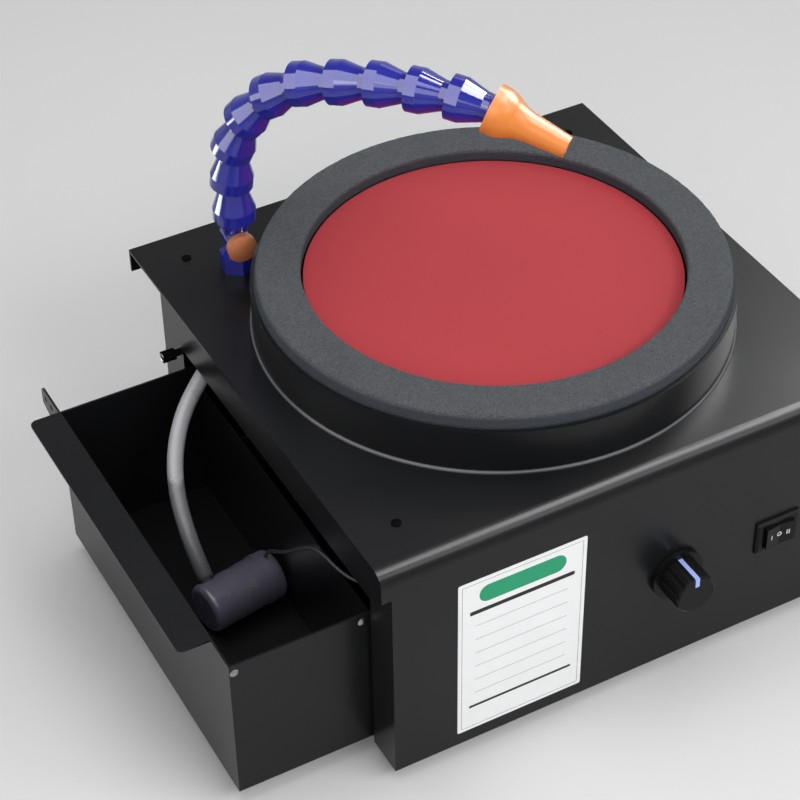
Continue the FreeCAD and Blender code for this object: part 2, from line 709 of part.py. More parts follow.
def rubber_feet():
    """Four tapered rubber feet with a recess for the screw."""
    hole = SCREW_RADIUS + HOLE_CLEARANCE
    recess = SCREW_HEAD_RADIUS + HOLE_CLEARANCE
    foot = turned([
        (hole, FOOT_RECESS), (recess, FOOT_RECESS), (recess, 0),
        (FOOT_RADIUS - FOOT_TAPER, 0), (FOOT_RADIUS, FOOT_HEIGHT), (hole, FOOT_HEIGHT),
    ])
    return Part.makeCompound([stood_on(foot, Vector(x, y, 0), UP) for x, y in foot_places()])


def case_screws():
    """All the identical small screws of the deck, panels, feet and motor bracket."""
    screws = [case_screw(x, y, DECK_TOP, UP) for x, y in deck_screw_places()]
    screws += [case_screw(x, y, FOOT_HEIGHT, -UP) for x, y in base_screw_places()]
    screws += [case_screw(x, y, FOOT_RECESS, -UP) for x, y in foot_places()]
    screws += [case_screw(x, y, BASE_TOP + BRACKET_SHEET, UP) for x, y in bracket_screw_places()]
    return Part.makeCompound(screws)


def splash_bowl():
    """The round bowl on the deck, with an inward rim and a collar round the spindle."""
    inner = BOWL_RADIUS - BOWL_WALL
    collar_outer = BOWL_COLLAR_INNER + 2 * BOWL_WALL
    collar_top = BOWL_FLOOR + BOWL_COLLAR_HEIGHT
    bowl = turned([
        (BOWL_COLLAR_INNER, DECK_TOP), (BOWL_RADIUS, DECK_TOP), (BOWL_RADIUS, BOWL_TOP),
        (BOWL_RIM_INNER, BOWL_TOP), (BOWL_RIM_INNER, BOWL_TOP - BOWL_WALL),
        (inner, BOWL_TOP - BOWL_WALL), (inner, BOWL_FLOOR), (collar_outer, BOWL_FLOOR),
        (collar_outer, collar_top), (BOWL_COLLAR_INNER, collar_top),
    ])
    below, above = DECK_TOP - SHEET, BOWL_FLOOR + SHEET
    bowl = drilled(bowl, housing_screw_places(), HOUSING_SCREW_RADIUS + HOLE_CLEARANCE, below, above)
    return drilled(bowl, [(DRAIN_X, DRAIN_Y)], VALVE_STEM_RADIUS + HOLE_CLEARANCE, below, above)


def bowl_seal():
    """The narrow sloping bead of sealant where the bowl meets the deck."""
    inner = BOWL_RADIUS + SEAT_FIT
    return turned([(inner, DECK_TOP), (inner + SEAL_SIZE, DECK_TOP), (inner, DECK_TOP + SEAL_SIZE)])


def housing_screws():
    """Four screws from inside the bowl down through the bearing housing's flange."""
    length = BOWL_WALL + SHEET + HOUSING_FLANGE_THICKNESS
    shape = screw(HOUSING_SCREW_HEAD_RADIUS, HOUSING_SCREW_HEAD_HEIGHT, HOUSING_SCREW_RADIUS, length)
    places = housing_screw_places()
    return Part.makeCompound([stood_on(shape, Vector(x, y, BOWL_FLOOR), UP) for x, y in places])


def drain_spout():
    """The flanged pipe that lets the bowl's water fall into the tank."""
    pipe = turned([
        (DRAIN_BORE_RADIUS, BOWL_FLOOR - DRAIN_LENGTH), (VALVE_STEM_RADIUS, BOWL_FLOOR - DRAIN_LENGTH),
        (VALVE_STEM_RADIUS, BOWL_FLOOR), (DRAIN_FLANGE_RADIUS, BOWL_FLOOR),
        (DRAIN_FLANGE_RADIUS, BOWL_FLOOR + DRAIN_FLANGE_THICKNESS),
        (DRAIN_BORE_RADIUS, BOWL_FLOOR + DRAIN_FLANGE_THICKNESS),
    ])
    return stood_on(pipe, Vector(DRAIN_X, DRAIN_Y, 0), UP)


def deck_nuts():
    """Identical nuts under the deck, for the valve's stem and the drain."""
    nuts = []
    for x, y in nut_places():
        nut = hexagon(NUT_FLATS, x, y, DECK_UNDER - NUT_HEIGHT, DECK_UNDER)
        nuts.append(nut.cut(upright(VALVE_STEM_RADIUS + SEAT_FIT, x, y, 0, DECK_TOP)))
    return Part.makeCompound(nuts)


def foam_ring():
    """The thick foam splash ring on the bowl's rim, its outer side leaning in."""
    foam_top = BOWL_TOP + FOAM_HEIGHT
    return turned([
        (FOAM_INNER, BOWL_TOP), (FOAM_OUTER, BOWL_TOP), (FOAM_OUTER - FOAM_BEVEL, foam_top),
        (FOAM_INNER, foam_top),
    ])


def platter():
    """The aluminium turntable with a rim, a water slinger and a hub on the spindle."""
    rim_inner = PLATTER_RADIUS - PLATTER_RIM_WIDTH
    slinger_outer = SLINGER_INNER + SLINGER_WALL
    hub_bottom = PLATTER_UNDER - PLATTER_HUB_DROP
    bore = SPINDLE_RADIUS + SEAT_FIT
    hole = PLATTER_SCREW_RADIUS + HOLE_CLEARANCE
    head = PLATTER_SCREW_HEAD_RADIUS + HOLE_CLEARANCE + SEAT_FIT
    head_depth = head - hole
    return turned([
        (bore, hub_bottom), (PLATTER_HUB_RADIUS, hub_bottom), (PLATTER_HUB_RADIUS, PLATTER_UNDER),
        (SLINGER_INNER, PLATTER_UNDER), (SLINGER_INNER, PLATTER_UNDER - SLINGER_DROP),
        (slinger_outer, PLATTER_UNDER - SLINGER_DROP), (slinger_outer, PLATTER_UNDER),
        (rim_inner, PLATTER_UNDER), (rim_inner, PLATTER_UNDER - PLATTER_RIM_DROP),
        (PLATTER_RADIUS, PLATTER_UNDER - PLATTER_RIM_DROP), (PLATTER_RADIUS, PLATTER_TOP),
        (head, PLATTER_TOP), (hole, PLATTER_TOP - head_depth), (hole, SPINDLE_TOP), (bore, SPINDLE_TOP),
    ])


def sanding_disc():
    """The red abrasive disc that sticks to the platter."""
    return upright(DISC_RADIUS, 0, 0, PLATTER_TOP, PLATTER_TOP + DISC_THICKNESS)


def spindle_shaft():
    """The vertical spindle, bored at the top for the platter's screw."""
    shaft = upright(SPINDLE_RADIUS, 0, 0, SPINDLE_BOTTOM, SPINDLE_TOP)
    hole_end = PLATTER_TOP - PLATTER_SCREW_LENGTH
    return shaft.cut(upright(PLATTER_SCREW_RADIUS + SEAT_FIT, 0, 0, hole_end, PLATTER_TOP))


def platter_screw():
    """The countersunk screw that holds the platter, under the abrasive disc."""
    head_depth = PLATTER_SCREW_HEAD_RADIUS - PLATTER_SCREW_RADIUS
    return turned([
        (0, PLATTER_TOP - PLATTER_SCREW_LENGTH), (PLATTER_SCREW_RADIUS, PLATTER_TOP - PLATTER_SCREW_LENGTH),
        (PLATTER_SCREW_RADIUS, PLATTER_TOP - head_depth - HOLE_CLEARANCE),
        (PLATTER_SCREW_HEAD_RADIUS, PLATTER_TOP - HOLE_CLEARANCE), (0, PLATTER_TOP - HOLE_CLEARANCE),
    ])


def bearing_housing():
    """The flanged barrel under the deck that holds both bearings."""
    bore = BEARING_RADIUS + SEAT_FIT
    lip = BEARING_RADIUS - BEARING_LIP
    barrel = BEARING_RADIUS + HOUSING_WALL
    step_low = LOWER_BEARING + BEARING_WIDTH
    housing = turned([
        (bore, HOUSING_BOTTOM), (barrel, HOUSING_BOTTOM), (barrel, FLANGE_UNDER),
        (HOUSING_FLANGE_RADIUS, FLANGE_UNDER), (HOUSING_FLANGE_RADIUS, HOUSING_TOP), (bore, HOUSING_TOP),
        (bore, UPPER_BEARING), (lip, UPPER_BEARING), (lip, step_low), (bore, step_low),
    ])
    return drilled(housing, housing_screw_places(), HOUSING_SCREW_RADIUS + SEAT_FIT, 0, DECK_TOP)


def bearing(bottom):
    """One ball bearing as a plain ring with its race groove on both faces."""
    bore = SPINDLE_RADIUS + RUNNING_FIT
    race = (BEARING_RADIUS - bore) * RACE_SHARE
    inner, outer = bore + race, BEARING_RADIUS - race
    top = bottom + BEARING_WIDTH
    low, high = bottom + RACE_GROOVE, top - RACE_GROOVE
    return turned([
        (bore, bottom), (inner, bottom), (inner, low), (outer, low), (outer, bottom),
        (BEARING_RADIUS, bottom), (BEARING_RADIUS, top), (outer, top), (outer, high),
        (inner, high), (inner, top), (bore, top),
    ])


def pulley(pitch_radius, bore_radius):
    """A pulley with a round belt groove, centred on the belt's height."""
    groove = BELT_RADIUS + BELT_CLEARANCE
    edge = pitch_radius + PULLEY_LAND
    mouth = groove + PULLEY_FLARE
    return turned([
        (bore_radius, PULLEY_BOTTOM), (edge, PULLEY_BOTTOM), (edge, BELT_HEIGHT - mouth),
        (pitch_radius, BELT_HEIGHT - groove),
        (pitch_radius, BELT_HEIGHT + groove, (pitch_radius - groove, BELT_HEIGHT)),
        (edge, BELT_HEIGHT + mouth), (edge, PULLEY_TOP), (bore_radius, PULLEY_TOP),
    ])


def driven_pulley():
    """The large pulley on the spindle."""
    return pulley(DRIVEN_PITCH_RADIUS, SPINDLE_RADIUS + SEAT_FIT)


def drive_pulley():
    """The small pulley on the motor's shaft."""
    return stood_on(pulley(DRIVE_PITCH_RADIUS, MOTOR_SHAFT_RADIUS + SEAT_FIT), Vector(MOTOR_X, 0, 0), UP)


def spindle_nut():
    """The nut that keeps the large pulley on the spindle."""
    nut = hexagon(SPINDLE_NUT_FLATS, 0, 0, SPINDLE_BOTTOM, PULLEY_BOTTOM)
    return nut.cut(upright(SPINDLE_RADIUS + SEAT_FIT, 0, 0, 0, DECK_TOP))


def drive_belt():
    """The round belt: two arcs on the pulleys joined by two straight runs."""
    lean = math.asin((DRIVEN_PITCH_RADIUS - DRIVE_PITCH_RADIUS) / MOTOR_X)

    def on_pulley(x, radius, angle):
        return Vector(x + radius * math.cos(angle), radius * math.sin(angle), BELT_HEIGHT)

    touch = math.pi / 2 - lean
    large = [on_pulley(0, DRIVEN_PITCH_RADIUS, angle) for angle in (touch, math.pi, -touch)]
    small = [on_pulley(MOTOR_X, DRIVE_PITCH_RADIUS, angle) for angle in (-touch, 0, touch)]
    path = Part.Wire([
        Part.Arc(*large).toShape(), Part.LineSegment(large[2], small[0]).toShape(),
        Part.Arc(*small).toShape(), Part.LineSegment(small[2], large[0]).toShape(),
    ])
    tangent = Vector(-math.sin(touch), math.cos(touch), 0)
    section = Part.Wire(Part.makeCircle(BELT_RADIUS, large[0], tangent))
    return path.makePipeShell([section], True, False)


def motor_body():
    """The vertical motor can with its front boss, bored for the shaft."""
    bottom = MOTOR_FACE - MOTOR_LENGTH
    bore = MOTOR_SHAFT_RADIUS + RUNNING_FIT
    top = MOTOR_FACE + MOTOR_BOSS_HEIGHT
    bore_end = MOTOR_FACE - MOTOR_SHAFT_DEPTH
    can = turned([
        (0, bottom), (MOTOR_RADIUS - MOTOR_EDGE, bottom), (MOTOR_RADIUS, bottom + MOTOR_EDGE),
        (MOTOR_RADIUS, MOTOR_FACE), (MOTOR_BOSS_RADIUS, MOTOR_FACE), (MOTOR_BOSS_RADIUS, top),
        (bore, top), (bore, bore_end), (0, bore_end),
    ])
    holes = [(end * MOTOR_SCREW_CIRCLE, 0) for end in (-1, 1)]
    depth = MOTOR_FACE + BRACKET_SHEET - MOTOR_SCREW_LENGTH
    can = drilled(can, holes, MOTOR_SCREW_RADIUS + SEAT_FIT, depth, DECK_TOP)
    return stood_on(can, Vector(MOTOR_X, 0, 0), UP)


def motor_shaft():
    """The motor's steel shaft."""
    bottom = MOTOR_FACE - MOTOR_SHAFT_DEPTH + SHEET
    return upright(MOTOR_SHAFT_RADIUS, MOTOR_X, 0, bottom, PULLEY_TOP + SHEET)


def motor_bracket():
    """The bridge that carries the motor by its face, on two footed legs."""
    x0, x1 = MOTOR_X - BRACKET_HALF_X, MOTOR_X + BRACKET_HALF_X
    inner = BRACKET_HALF_Y - BRACKET_SHEET
    bridge = joined(
        block(x0, x1, -BRACKET_HALF_Y, BRACKET_HALF_Y, MOTOR_FACE, BRACKET_TOP),
        block(x0, x1, -BRACKET_HALF_Y, -inner, BASE_TOP, MOTOR_FACE),
        block(x0, x1, inner, BRACKET_HALF_Y, BASE_TOP, MOTOR_FACE),
        block(x0, x1, -BRACKET_HALF_Y - BRACKET_FOOT, -inner, BASE_TOP, BASE_TOP + BRACKET_SHEET),
        block(x0, x1, inner, BRACKET_HALF_Y + BRACKET_FOOT, BASE_TOP, BASE_TOP + BRACKET_SHEET),
    )
    holes = [(MOTOR_X + end * MOTOR_SCREW_CIRCLE, 0) for end in (-1, 1)]
    bridge = drilled(bridge, holes, MOTOR_SCREW_RADIUS + HOLE_CLEARANCE, BASE_TOP, DECK_TOP)
    bridge = drilled(bridge, [(MOTOR_X, 0)], MOTOR_BOSS_RADIUS + HOLE_CLEARANCE, BASE_TOP, DECK_TOP)
    return drilled(bridge, bracket_screw_places(), SCREW_RADIUS + HOLE_CLEARANCE, 0, 2 * BASE_TOP)


def motor_screws():
    """Two screws through the bracket into the motor's face."""
    shape = screw(MOTOR_SCREW_HEAD_RADIUS, MOTOR_SCREW_HEAD_HEIGHT, MOTOR_SCREW_RADIUS, MOTOR_SCREW_LENGTH)
    return Part.makeCompound([
        stood_on(shape, Vector(MOTOR_X + end * MOTOR_SCREW_CIRCLE, 0, BRACKET_TOP), UP) for end in (-1, 1)
    ])


def outward(shape):
    """A control made about Z, stood on the front face at the knob's centre, facing out."""
    return stood_on(shape, Vector(KNOB_X, -DECK_FRONT, CONTROL_HEIGHT), Vector(0, -1, 0))


def speed_potentiometer():
    """The speed control's body behind the front face, with its bushing through it."""
    bore = SHAFT_RADIUS + RUNNING_FIT
    return outward(turned([
        (bore, POT_BUSHING_PROUD), (bore, -SHEET - POT_DEPTH / 2), (0, -SHEET - POT_DEPTH / 2),
        (0, -SHEET - POT_DEPTH), (POT_RADIUS, -SHEET - POT_DEPTH), (POT_RADIUS, -SHEET),
        (POT_BUSHING_RADIUS, -SHEET), (POT_BUSHING_RADIUS, POT_BUSHING_PROUD),
    ]))


def potentiometer_shaft():
    """The turning shaft that the knob is pushed onto."""
    return outward(Part.makeCylinder(
        SHAFT_RADIUS, SHAFT_GRIP + SHEET + POT_DEPTH / 2, Vector(0, 0, -SHEET - POT_DEPTH / 2 + KNOB_GAP)
    ))


def pointer_slot():
    """The bent strip of the knob's pointer: along its top and over its face."""
    front = KNOB_GAP + KNOB_LENGTH
    half = POINTER_WIDTH / 2
    along = block(
        -half, half, KNOB_RADIUS - POINTER_DEPTH, KNOB_RADIUS, KNOB_GAP + KNOB_FLANGE_THICKNESS, front
    )
    over = block(-half, half, KNOB_RADIUS - POINTER_FACE_LENGTH, KNOB_RADIUS, front - POINTER_DEPTH, front)
    return joined(along, over)


def speed_knob():
    """The fluted speed knob with its flange, bored for the shaft and slotted for the pointer."""
    front = KNOB_GAP + KNOB_LENGTH
    bore = SHAFT_RADIUS + SEAT_FIT
    bore_end = KNOB_GAP + SHAFT_GRIP
    flange = KNOB_GAP + KNOB_FLANGE_THICKNESS
    body = turned([
        (bore, KNOB_GAP), (KNOB_FLANGE_RADIUS, KNOB_GAP), (KNOB_FLANGE_RADIUS, flange),
        (KNOB_RADIUS, flange), (KNOB_RADIUS, front - KNOB_EDGE), (KNOB_RADIUS - KNOB_EDGE, front),
        (0, front), (0, bore_end), (bore, bore_end),
    ])
    reach = KNOB_RADIUS + KNOB_FLUTE_RADIUS - KNOB_FLUTE_DEPTH
    flute = upright(KNOB_FLUTE_RADIUS, reach, 0, flange, front + KNOB_EDGE)
    flute.rotate(Vector(), UP, 90 + 180.0 / KNOB_FLUTES)
    body = body.cut(ring_of(KNOB_FLUTES, flute, Vector(), UP))
    recess = KNOB_RADIUS + POINTER_DEPTH
    slot = joined(pointer_slot(), block(
        -POINTER_WIDTH / 2, POINTER_WIDTH / 2, KNOB_RADIUS - POINTER_FACE_LENGTH, recess,
        front - POINTER_DEPTH, front + KNOB_EDGE,
    ), block(-POINTER_WIDTH / 2, POINTER_WIDTH / 2, KNOB_RADIUS - POINTER_DEPTH, recess, flange, front))
    return outward(body.cut(slot))


def knob_pointer():
    """The pale pointer strip set into the knob."""
    strip = pointer_slot()
    round_off = Part.makeCylinder(KNOB_RADIUS, KNOB_GAP + KNOB_LENGTH)
    return outward(strip.common(round_off))


def speed_control_board():
    """The circuit board with its terminal block, coil and finned heat sink."""
    right = BOARD_LEFT + BOARD_WIDTH
    top = BOARD_BOTTOM + BOARD_HEIGHT
    board = block(BOARD_LEFT, right, BOARD_FRONT, BOARD_BACK, BOARD_BOTTOM, top)
    terminal = block(
        BOARD_LEFT + BOARD_MARGIN, BOARD_LEFT + BOARD_MARGIN + TERMINAL_WIDTH,
        BOARD_BACK, BOARD_BACK + TERMINAL_DEPTH,
        CONTROL_HEIGHT, CONTROL_HEIGHT + TERMINAL_HEIGHT,
    )
    coil = rod(
        COIL_RADIUS, Vector(KNOB_X, BOARD_BACK, BOARD_BOTTOM + 2 * COIL_RADIUS),
        Vector(KNOB_X, BOARD_BACK + COIL_HEIGHT, BOARD_BOTTOM + 2 * COIL_RADIUS),
    )
    sink_right = right - 2 * BOARD_MARGIN
    sink_left = sink_right - SINK_WIDTH
    sink_top = CONTROL_HEIGHT + SINK_HEIGHT
    sink = block(sink_left, sink_right, BOARD_BACK, BOARD_BACK + SINK_FIN, CONTROL_HEIGHT, sink_top)
    step = (SINK_WIDTH - SINK_FIN) / (SINK_FINS - 1)
    fins = [
        block(
            sink_left + index * step, sink_left + index * step + SINK_FIN,
            BOARD_BACK, BOARD_BACK + SINK_DEPTH, CONTROL_HEIGHT, sink_top,
        )
        for index in range(SINK_FINS)
    ]
    return Part.makeCompound([board, terminal, coil, joined(sink, *fins)])


def board_standoffs():
    """Four posts between the front face and the circuit board."""
    posts = []
    for x in (BOARD_LEFT + BOARD_MARGIN, BOARD_LEFT + BOARD_WIDTH - BOARD_MARGIN):
        for z in (BOARD_BOTTOM + BOARD_MARGIN, BOARD_BOTTOM + BOARD_HEIGHT - BOARD_MARGIN):
            posts.append(rod(BOARD_STANDOFF_RADIUS, Vector(x, INSIDE_FRONT, z), Vector(x, BOARD_FRONT, z)))
    return Part.makeCompound(posts)


def rocker_pivot():
    """The upright axis that the switch rocker swings about."""
    return Vector(SWITCH_X, -DECK_FRONT, CONTROL_HEIGHT)


def switch_housing():
    """The switch's bevelled bezel and its body behind the front face."""
    half_width, half_height = BEZEL_WIDTH / 2, BEZEL_HEIGHT / 2
    front = -DECK_FRONT - BEZEL_PROUD
    bezel = block(
        SWITCH_X - half_width, SWITCH_X + half_width, front, -DECK_FRONT,
        CONTROL_HEIGHT - half_height, CONTROL_HEIGHT + half_height,
    )
    rim = [edge for edge in bezel.Edges if edge.BoundBox.YMax < front + TOUCH]
    bezel = bezel.makeChamfer(BEZEL_BEVEL, rim)
    body = block(
        SWITCH_X - SWITCH_BODY_WIDTH / 2, SWITCH_X + SWITCH_BODY_WIDTH / 2,
        -DECK_FRONT, -DECK_FRONT + SWITCH_BODY_DEPTH,
        CONTROL_HEIGHT - SWITCH_BODY_HEIGHT / 2, CONTROL_HEIGHT + SWITCH_BODY_HEIGHT / 2,
    )
    half_room = ROCKER_HEIGHT / 2 + ROCKER_CLEARANCE
    reach = math.hypot(ROCKER_RADIUS, ROCKER_PROUD)
    swing = math.atan2(ROCKER_PROUD, ROCKER_RADIUS) - math.radians(ROCKER_SWING + TURN_MARGIN)
    half_mouth = reach * math.cos(max(swing, 0.0)) + ROCKER_CLEARANCE
    mouth = block(
        SWITCH_X - half_mouth, SWITCH_X + half_mouth, front - SHEET, -DECK_FRONT,
        CONTROL_HEIGHT - half_room, CONTROL_HEIGHT + half_room,
    )
    pit = upright(
        ROCKER_RADIUS + ROCKER_CLEARANCE, SWITCH_X, -DECK_FRONT,
        CONTROL_HEIGHT - half_room, CONTROL_HEIGHT + half_room,
    )
    return joined(bezel, body).cut([mouth, pit])


def switch_rocker():
    """The rocker: two leaning flats in front and a round back about its pivot."""
    pivot = rocker_pivot() - Vector(0, 0, ROCKER_HEIGHT / 2)
    left = pivot + Vector(-ROCKER_RADIUS, 0, 0)
    left_front = left + Vector(0, -ROCKER_PROUD, 0)
    middle = pivot + Vector(0, -ROCKER_PROUD + ROCKER_DISH, 0)
    right_front = left_front + Vector(2 * ROCKER_RADIUS, 0, 0)
    right = left + Vector(2 * ROCKER_RADIUS, 0, 0)
    outline = Part.Wire([
        Part.LineSegment(left, left_front).toShape(),
        Part.LineSegment(left_front, middle).toShape(),
        Part.LineSegment(middle, right_front).toShape(),
        Part.LineSegment(right_front, right).toShape(),
        Part.Arc(right, pivot + Vector(0, ROCKER_RADIUS, 0), left).toShape(),
    ])
    return Part.Face(outline).extrude(Vector(0, 0, ROCKER_HEIGHT))


def power_inlet():
    """The round low-voltage socket in the back panel, with its outer nut."""
    outer = INLET_NUT_THICKNESS
    socket = turned([
        (INLET_BORE, outer), (INLET_BORE, outer - INLET_BORE_DEPTH), (0, outer - INLET_BORE_DEPTH),
        (0, outer - INLET_DEPTH), (INLET_NUT_RADIUS, outer - INLET_DEPTH), (INLET_NUT_RADIUS, -SHEET),
        (INLET_RADIUS, -SHEET), (INLET_RADIUS, 0), (INLET_NUT_RADIUS, 0), (INLET_NUT_RADIUS, outer),
    ])
    return stood_on(socket, Vector(INLET_X, BACK_PANEL, INLET_HEIGHT), Vector(0, 1, 0))


def at_valve(shape):
    """A piece of the valve, turned to its heading and stood on the deck."""
    moved = shape.copy()
    moved.rotate(Vector(), UP, VALVE_TURN)
    moved.translate(VALVE_BASE)
    return moved


def ball_section(offset):
    """A hose ball's radius at an offset from its centre."""
    return math.sqrt(BALL_RADIUS ** 2 - offset ** 2)


def valve_body():
    """The hexagon-footed valve with a cross barrel and the hose's first ball on top."""
    hex_foot = hexagon(VALVE_HEX_FLATS, 0, 0, 0, VALVE_HEX_HEIGHT)
    collar_top = HOSE_START - BAND_BEHIND - VALVE_COLLAR_GAP
    ball_top = HOSE_START + BALL_AHEAD
    stalk = turned([
        (0, -SHEET - VALVE_STEM_DROP), (VALVE_STEM_RADIUS, -SHEET - VALVE_STEM_DROP), (VALVE_STEM_RADIUS, 0),
        (VALVE_NECK_RADIUS, 0), (VALVE_NECK_RADIUS, VALVE_FLARE_HEIGHT), (VALVE_COLLAR_RADIUS, collar_top),
        (ball_section(THROAT_TO_BALL), HOSE_START - THROAT_TO_BALL),
        (ball_section(BALL_AHEAD), ball_top, (BALL_RADIUS, HOSE_START)), (0, ball_top),
    ])
    barrel = rod(
        VALVE_BARREL_RADIUS, Vector(0, VALVE_BARREL_REACH, VALVE_BARREL_HEIGHT),
        Vector(0, -VALVE_BARREL_REACH, VALVE_BARREL_HEIGHT),
    )
    flow = upright(VALVE_BORE_RADIUS, 0, 0, -SHEET - VALVE_STEM_DROP - SHEET, ball_top + SHEET)
    plug_room = rod(
        PLUG_RADIUS + RUNNING_FIT, Vector(0, VALVE_BARREL_REACH - SHEET, VALVE_BARREL_HEIGHT),
        Vector(0, -VALVE_BARREL_REACH - SHEET, VALVE_BARREL_HEIGHT),
    )
    return at_valve(joined(hex_foot, stalk, barrel).cut([flow, plug_room]))


def handle_axis():
    """The direction that the valve's handle faces."""
    turn = math.radians(VALVE_TURN)
    return Vector(math.sin(turn), -math.cos(turn), 0)


def valve_handle():
    """The round orange handle with the plug that it turns inside the barrel."""
    face = VALVE_BARREL_REACH + HANDLE_GAP
    edge = face + HANDLE_THICKNESS
    plug_end = -VALVE_BARREL_REACH + SHEET + HANDLE_GAP
    shape = turned([
        (0, plug_end), (PLUG_RADIUS, plug_end), (PLUG_RADIUS, face), (HANDLE_RADIUS, face),
        (HANDLE_RADIUS, edge), (0, edge + HANDLE_CROWN, dome_middle(HANDLE_RADIUS, edge, HANDLE_CROWN)),
    ])
    shape = stood_on(shape, Vector(0, 0, VALVE_BARREL_HEIGHT), Vector(0, -1, 0))
    flow = upright(VALVE_BORE_RADIUS, 0, 0, 0, 2 * VALVE_BARREL_HEIGHT)
    return at_valve(shape.cut(flow))


def elbow_centre():
    """Where the elbow's two bores meet, under the valve."""
    return Vector(VALVE_X, VALVE_Y, DECK_UNDER - VALVE_STEM_DROP - ELBOW_TURN)


def elbow_aim():
    """The unit direction of the elbow's barb."""
    return Vector(ELBOW_AIM).normalize()


def valve_elbow():
    """The elbow screwed to the valve's stem, with a barb for the water hose."""
    stem_end = DECK_UNDER - VALVE_STEM_DROP
    centre = elbow_centre()
    body = upright(ELBOW_RADIUS, VALVE_X, VALVE_Y, centre.z - ELBOW_BOTTOM, stem_end + ELBOW_HOLD)
    barb = rod(WATER_HOSE_BORE - BARB_FIT, centre, centre + elbow_aim() * BARB_LENGTH)
    shape = joined(body, barb)
    socket = upright(VALVE_STEM_RADIUS + SEAT_FIT, VALVE_X, VALVE_Y, stem_end, DECK_TOP)
    bore = WATER_HOSE_BORE - 2 * BARB_FIT - SHEET / 2
    flow = rod(bore, centre, centre + elbow_aim() * (BARB_LENGTH + SHEET))
    down = upright(bore, VALVE_X, VALVE_Y, centre.z, stem_end + SHEET)
    return shape.cut([socket, flow, down])


def segment_axes():
    """Each hose piece's ball centre and direction, from the valve to the nozzle."""
    heading = math.radians(HOSE_HEADING)
    level = Vector(math.cos(heading), math.sin(heading), 0)
    centre = VALVE_BASE + Vector(0, 0, HOSE_START)
    rise = math.pi / 2
    axes = []
    for turn in HOSE_TURNS:
        rise -= math.radians(turn)
        along = level * math.cos(rise) + UP * math.sin(rise)
        axes.append((centre, along))
        centre = centre + along * HOSE_PITCH
    return axes


def socket_profile():
    """The mouth and ball socket at the rear of a hose piece, from its bore outwards."""
    seat = BALL_RADIUS + BALL_FIT
    lip = BAND_BEHIND - MOUTH_DEPTH
    bore_start = math.sqrt(seat ** 2 - HOSE_BORE_RADIUS ** 2)
    return [
        (HOSE_BORE_RADIUS, bore_start),
        (math.sqrt(seat ** 2 - lip ** 2), -lip, (seat * HALF_ROOT, seat * HALF_ROOT)),
        (MOUTH_RADIUS, -BAND_BEHIND),
    ]


def hose_segment(index):
    """One hose piece: a wide band with a socket, a cone and a ball for the next piece."""
    profile = socket_profile() + [
        (BAND_RADIUS, -BAND_BEHIND), (BAND_RADIUS, BAND_AHEAD), (CONE_RADIUS, HOSE_PITCH - CONE_TO_BALL),
        (ball_section(THROAT_TO_BALL), HOSE_PITCH - THROAT_TO_BALL),
        (ball_section(BALL_AHEAD), HOSE_PITCH + BALL_AHEAD, (BALL_RADIUS, HOSE_PITCH)),
        (HOSE_BORE_RADIUS, HOSE_PITCH + BALL_AHEAD),
    ]
    return stood_on(turned(profile), *segment_axes()[index])


def hose_nozzle():
    """The orange nozzle: a wide bell that narrows to a slightly tapered tip."""
    band_end = (NOZZLE_RADIUS, -BAND_BEHIND + NOZZLE_BAND)
    shoulder = (NOZZLE_SHOULDER_RADIUS, NOZZLE_SHOULDER)
    waist = (NOZZLE_WAIST_RADIUS, NOZZLE_WAIST)
    bore_step = NOZZLE_BORE_STEP
    profile = socket_profile() + [
        (NOZZLE_RADIUS, -BAND_BEHIND), band_end, bowed(band_end, shoulder, NOZZLE_BULGE),
        bowed(shoulder, waist, -NOZZLE_HOLLOW),
        (NOZZLE_TIP_RADIUS, NOZZLE_LENGTH), (NOZZLE_BORE_RADIUS, NOZZLE_LENGTH),
        (NOZZLE_BORE_RADIUS, bore_step + HOSE_BORE_RADIUS - NOZZLE_BORE_RADIUS),
        (HOSE_BORE_RADIUS, bore_step),
    ]
    return stood_on(turned(profile), *segment_axes()[-1])


def drawer_lip():
    """The wide rim along the top of the tank's outer wall, which serves as its handle."""
    x0, x1 = DRAWER_LEFT - LIP_WIDTH, DRAWER_LEFT + DRAWER_WALL
    lip = block(x0, x1, DRAWER_FRONT + LIP_FRONT_GAP, DRAWER_BACK, DRAWER_TOP - DRAWER_WALL, DRAWER_TOP)
    corners = [
        edge for edge in lip.Edges
        if edge.BoundBox.XMax < x0 + TOUCH and edge.BoundBox.ZLength > DRAWER_WALL / 2
    ]
    return lip.makeFillet(LIP_CORNER, corners)


def drawer_ear():
    """The upright ear at the back of the tank's outer wall, with two small holes."""
    y0, y1 = DRAWER_BACK - DRAWER_WALL, DRAWER_BACK + EAR_LENGTH
    points = [
        Vector(DRAWER_LEFT, y0, DRAWER_TOP), Vector(DRAWER_LEFT, y1 - EAR_CORNER, DRAWER_TOP),
        Vector(DRAWER_LEFT, y1, DRAWER_TOP - EAR_CORNER),
        Vector(DRAWER_LEFT, y1, DRAWER_TOP - EAR_TIP_HEIGHT),
        Vector(DRAWER_LEFT, y0, DRAWER_TOP - EAR_HEIGHT),
    ]
    ear = prism(points, Vector(DRAWER_WALL, 0, 0))
    holes = []
    for index in range(2):
        y = y1 - EAR_HOLE_DROP - index * EAR_HOLE_PITCH
        start = Vector(DRAWER_LEFT - DRAWER_WALL, y, DRAWER_TOP - EAR_HOLE_DROP)
        holes.append(rod(EAR_HOLE_RADIUS, start, start + Vector(3 * DRAWER_WALL, 0, 0)))
    return ear.cut(holes)


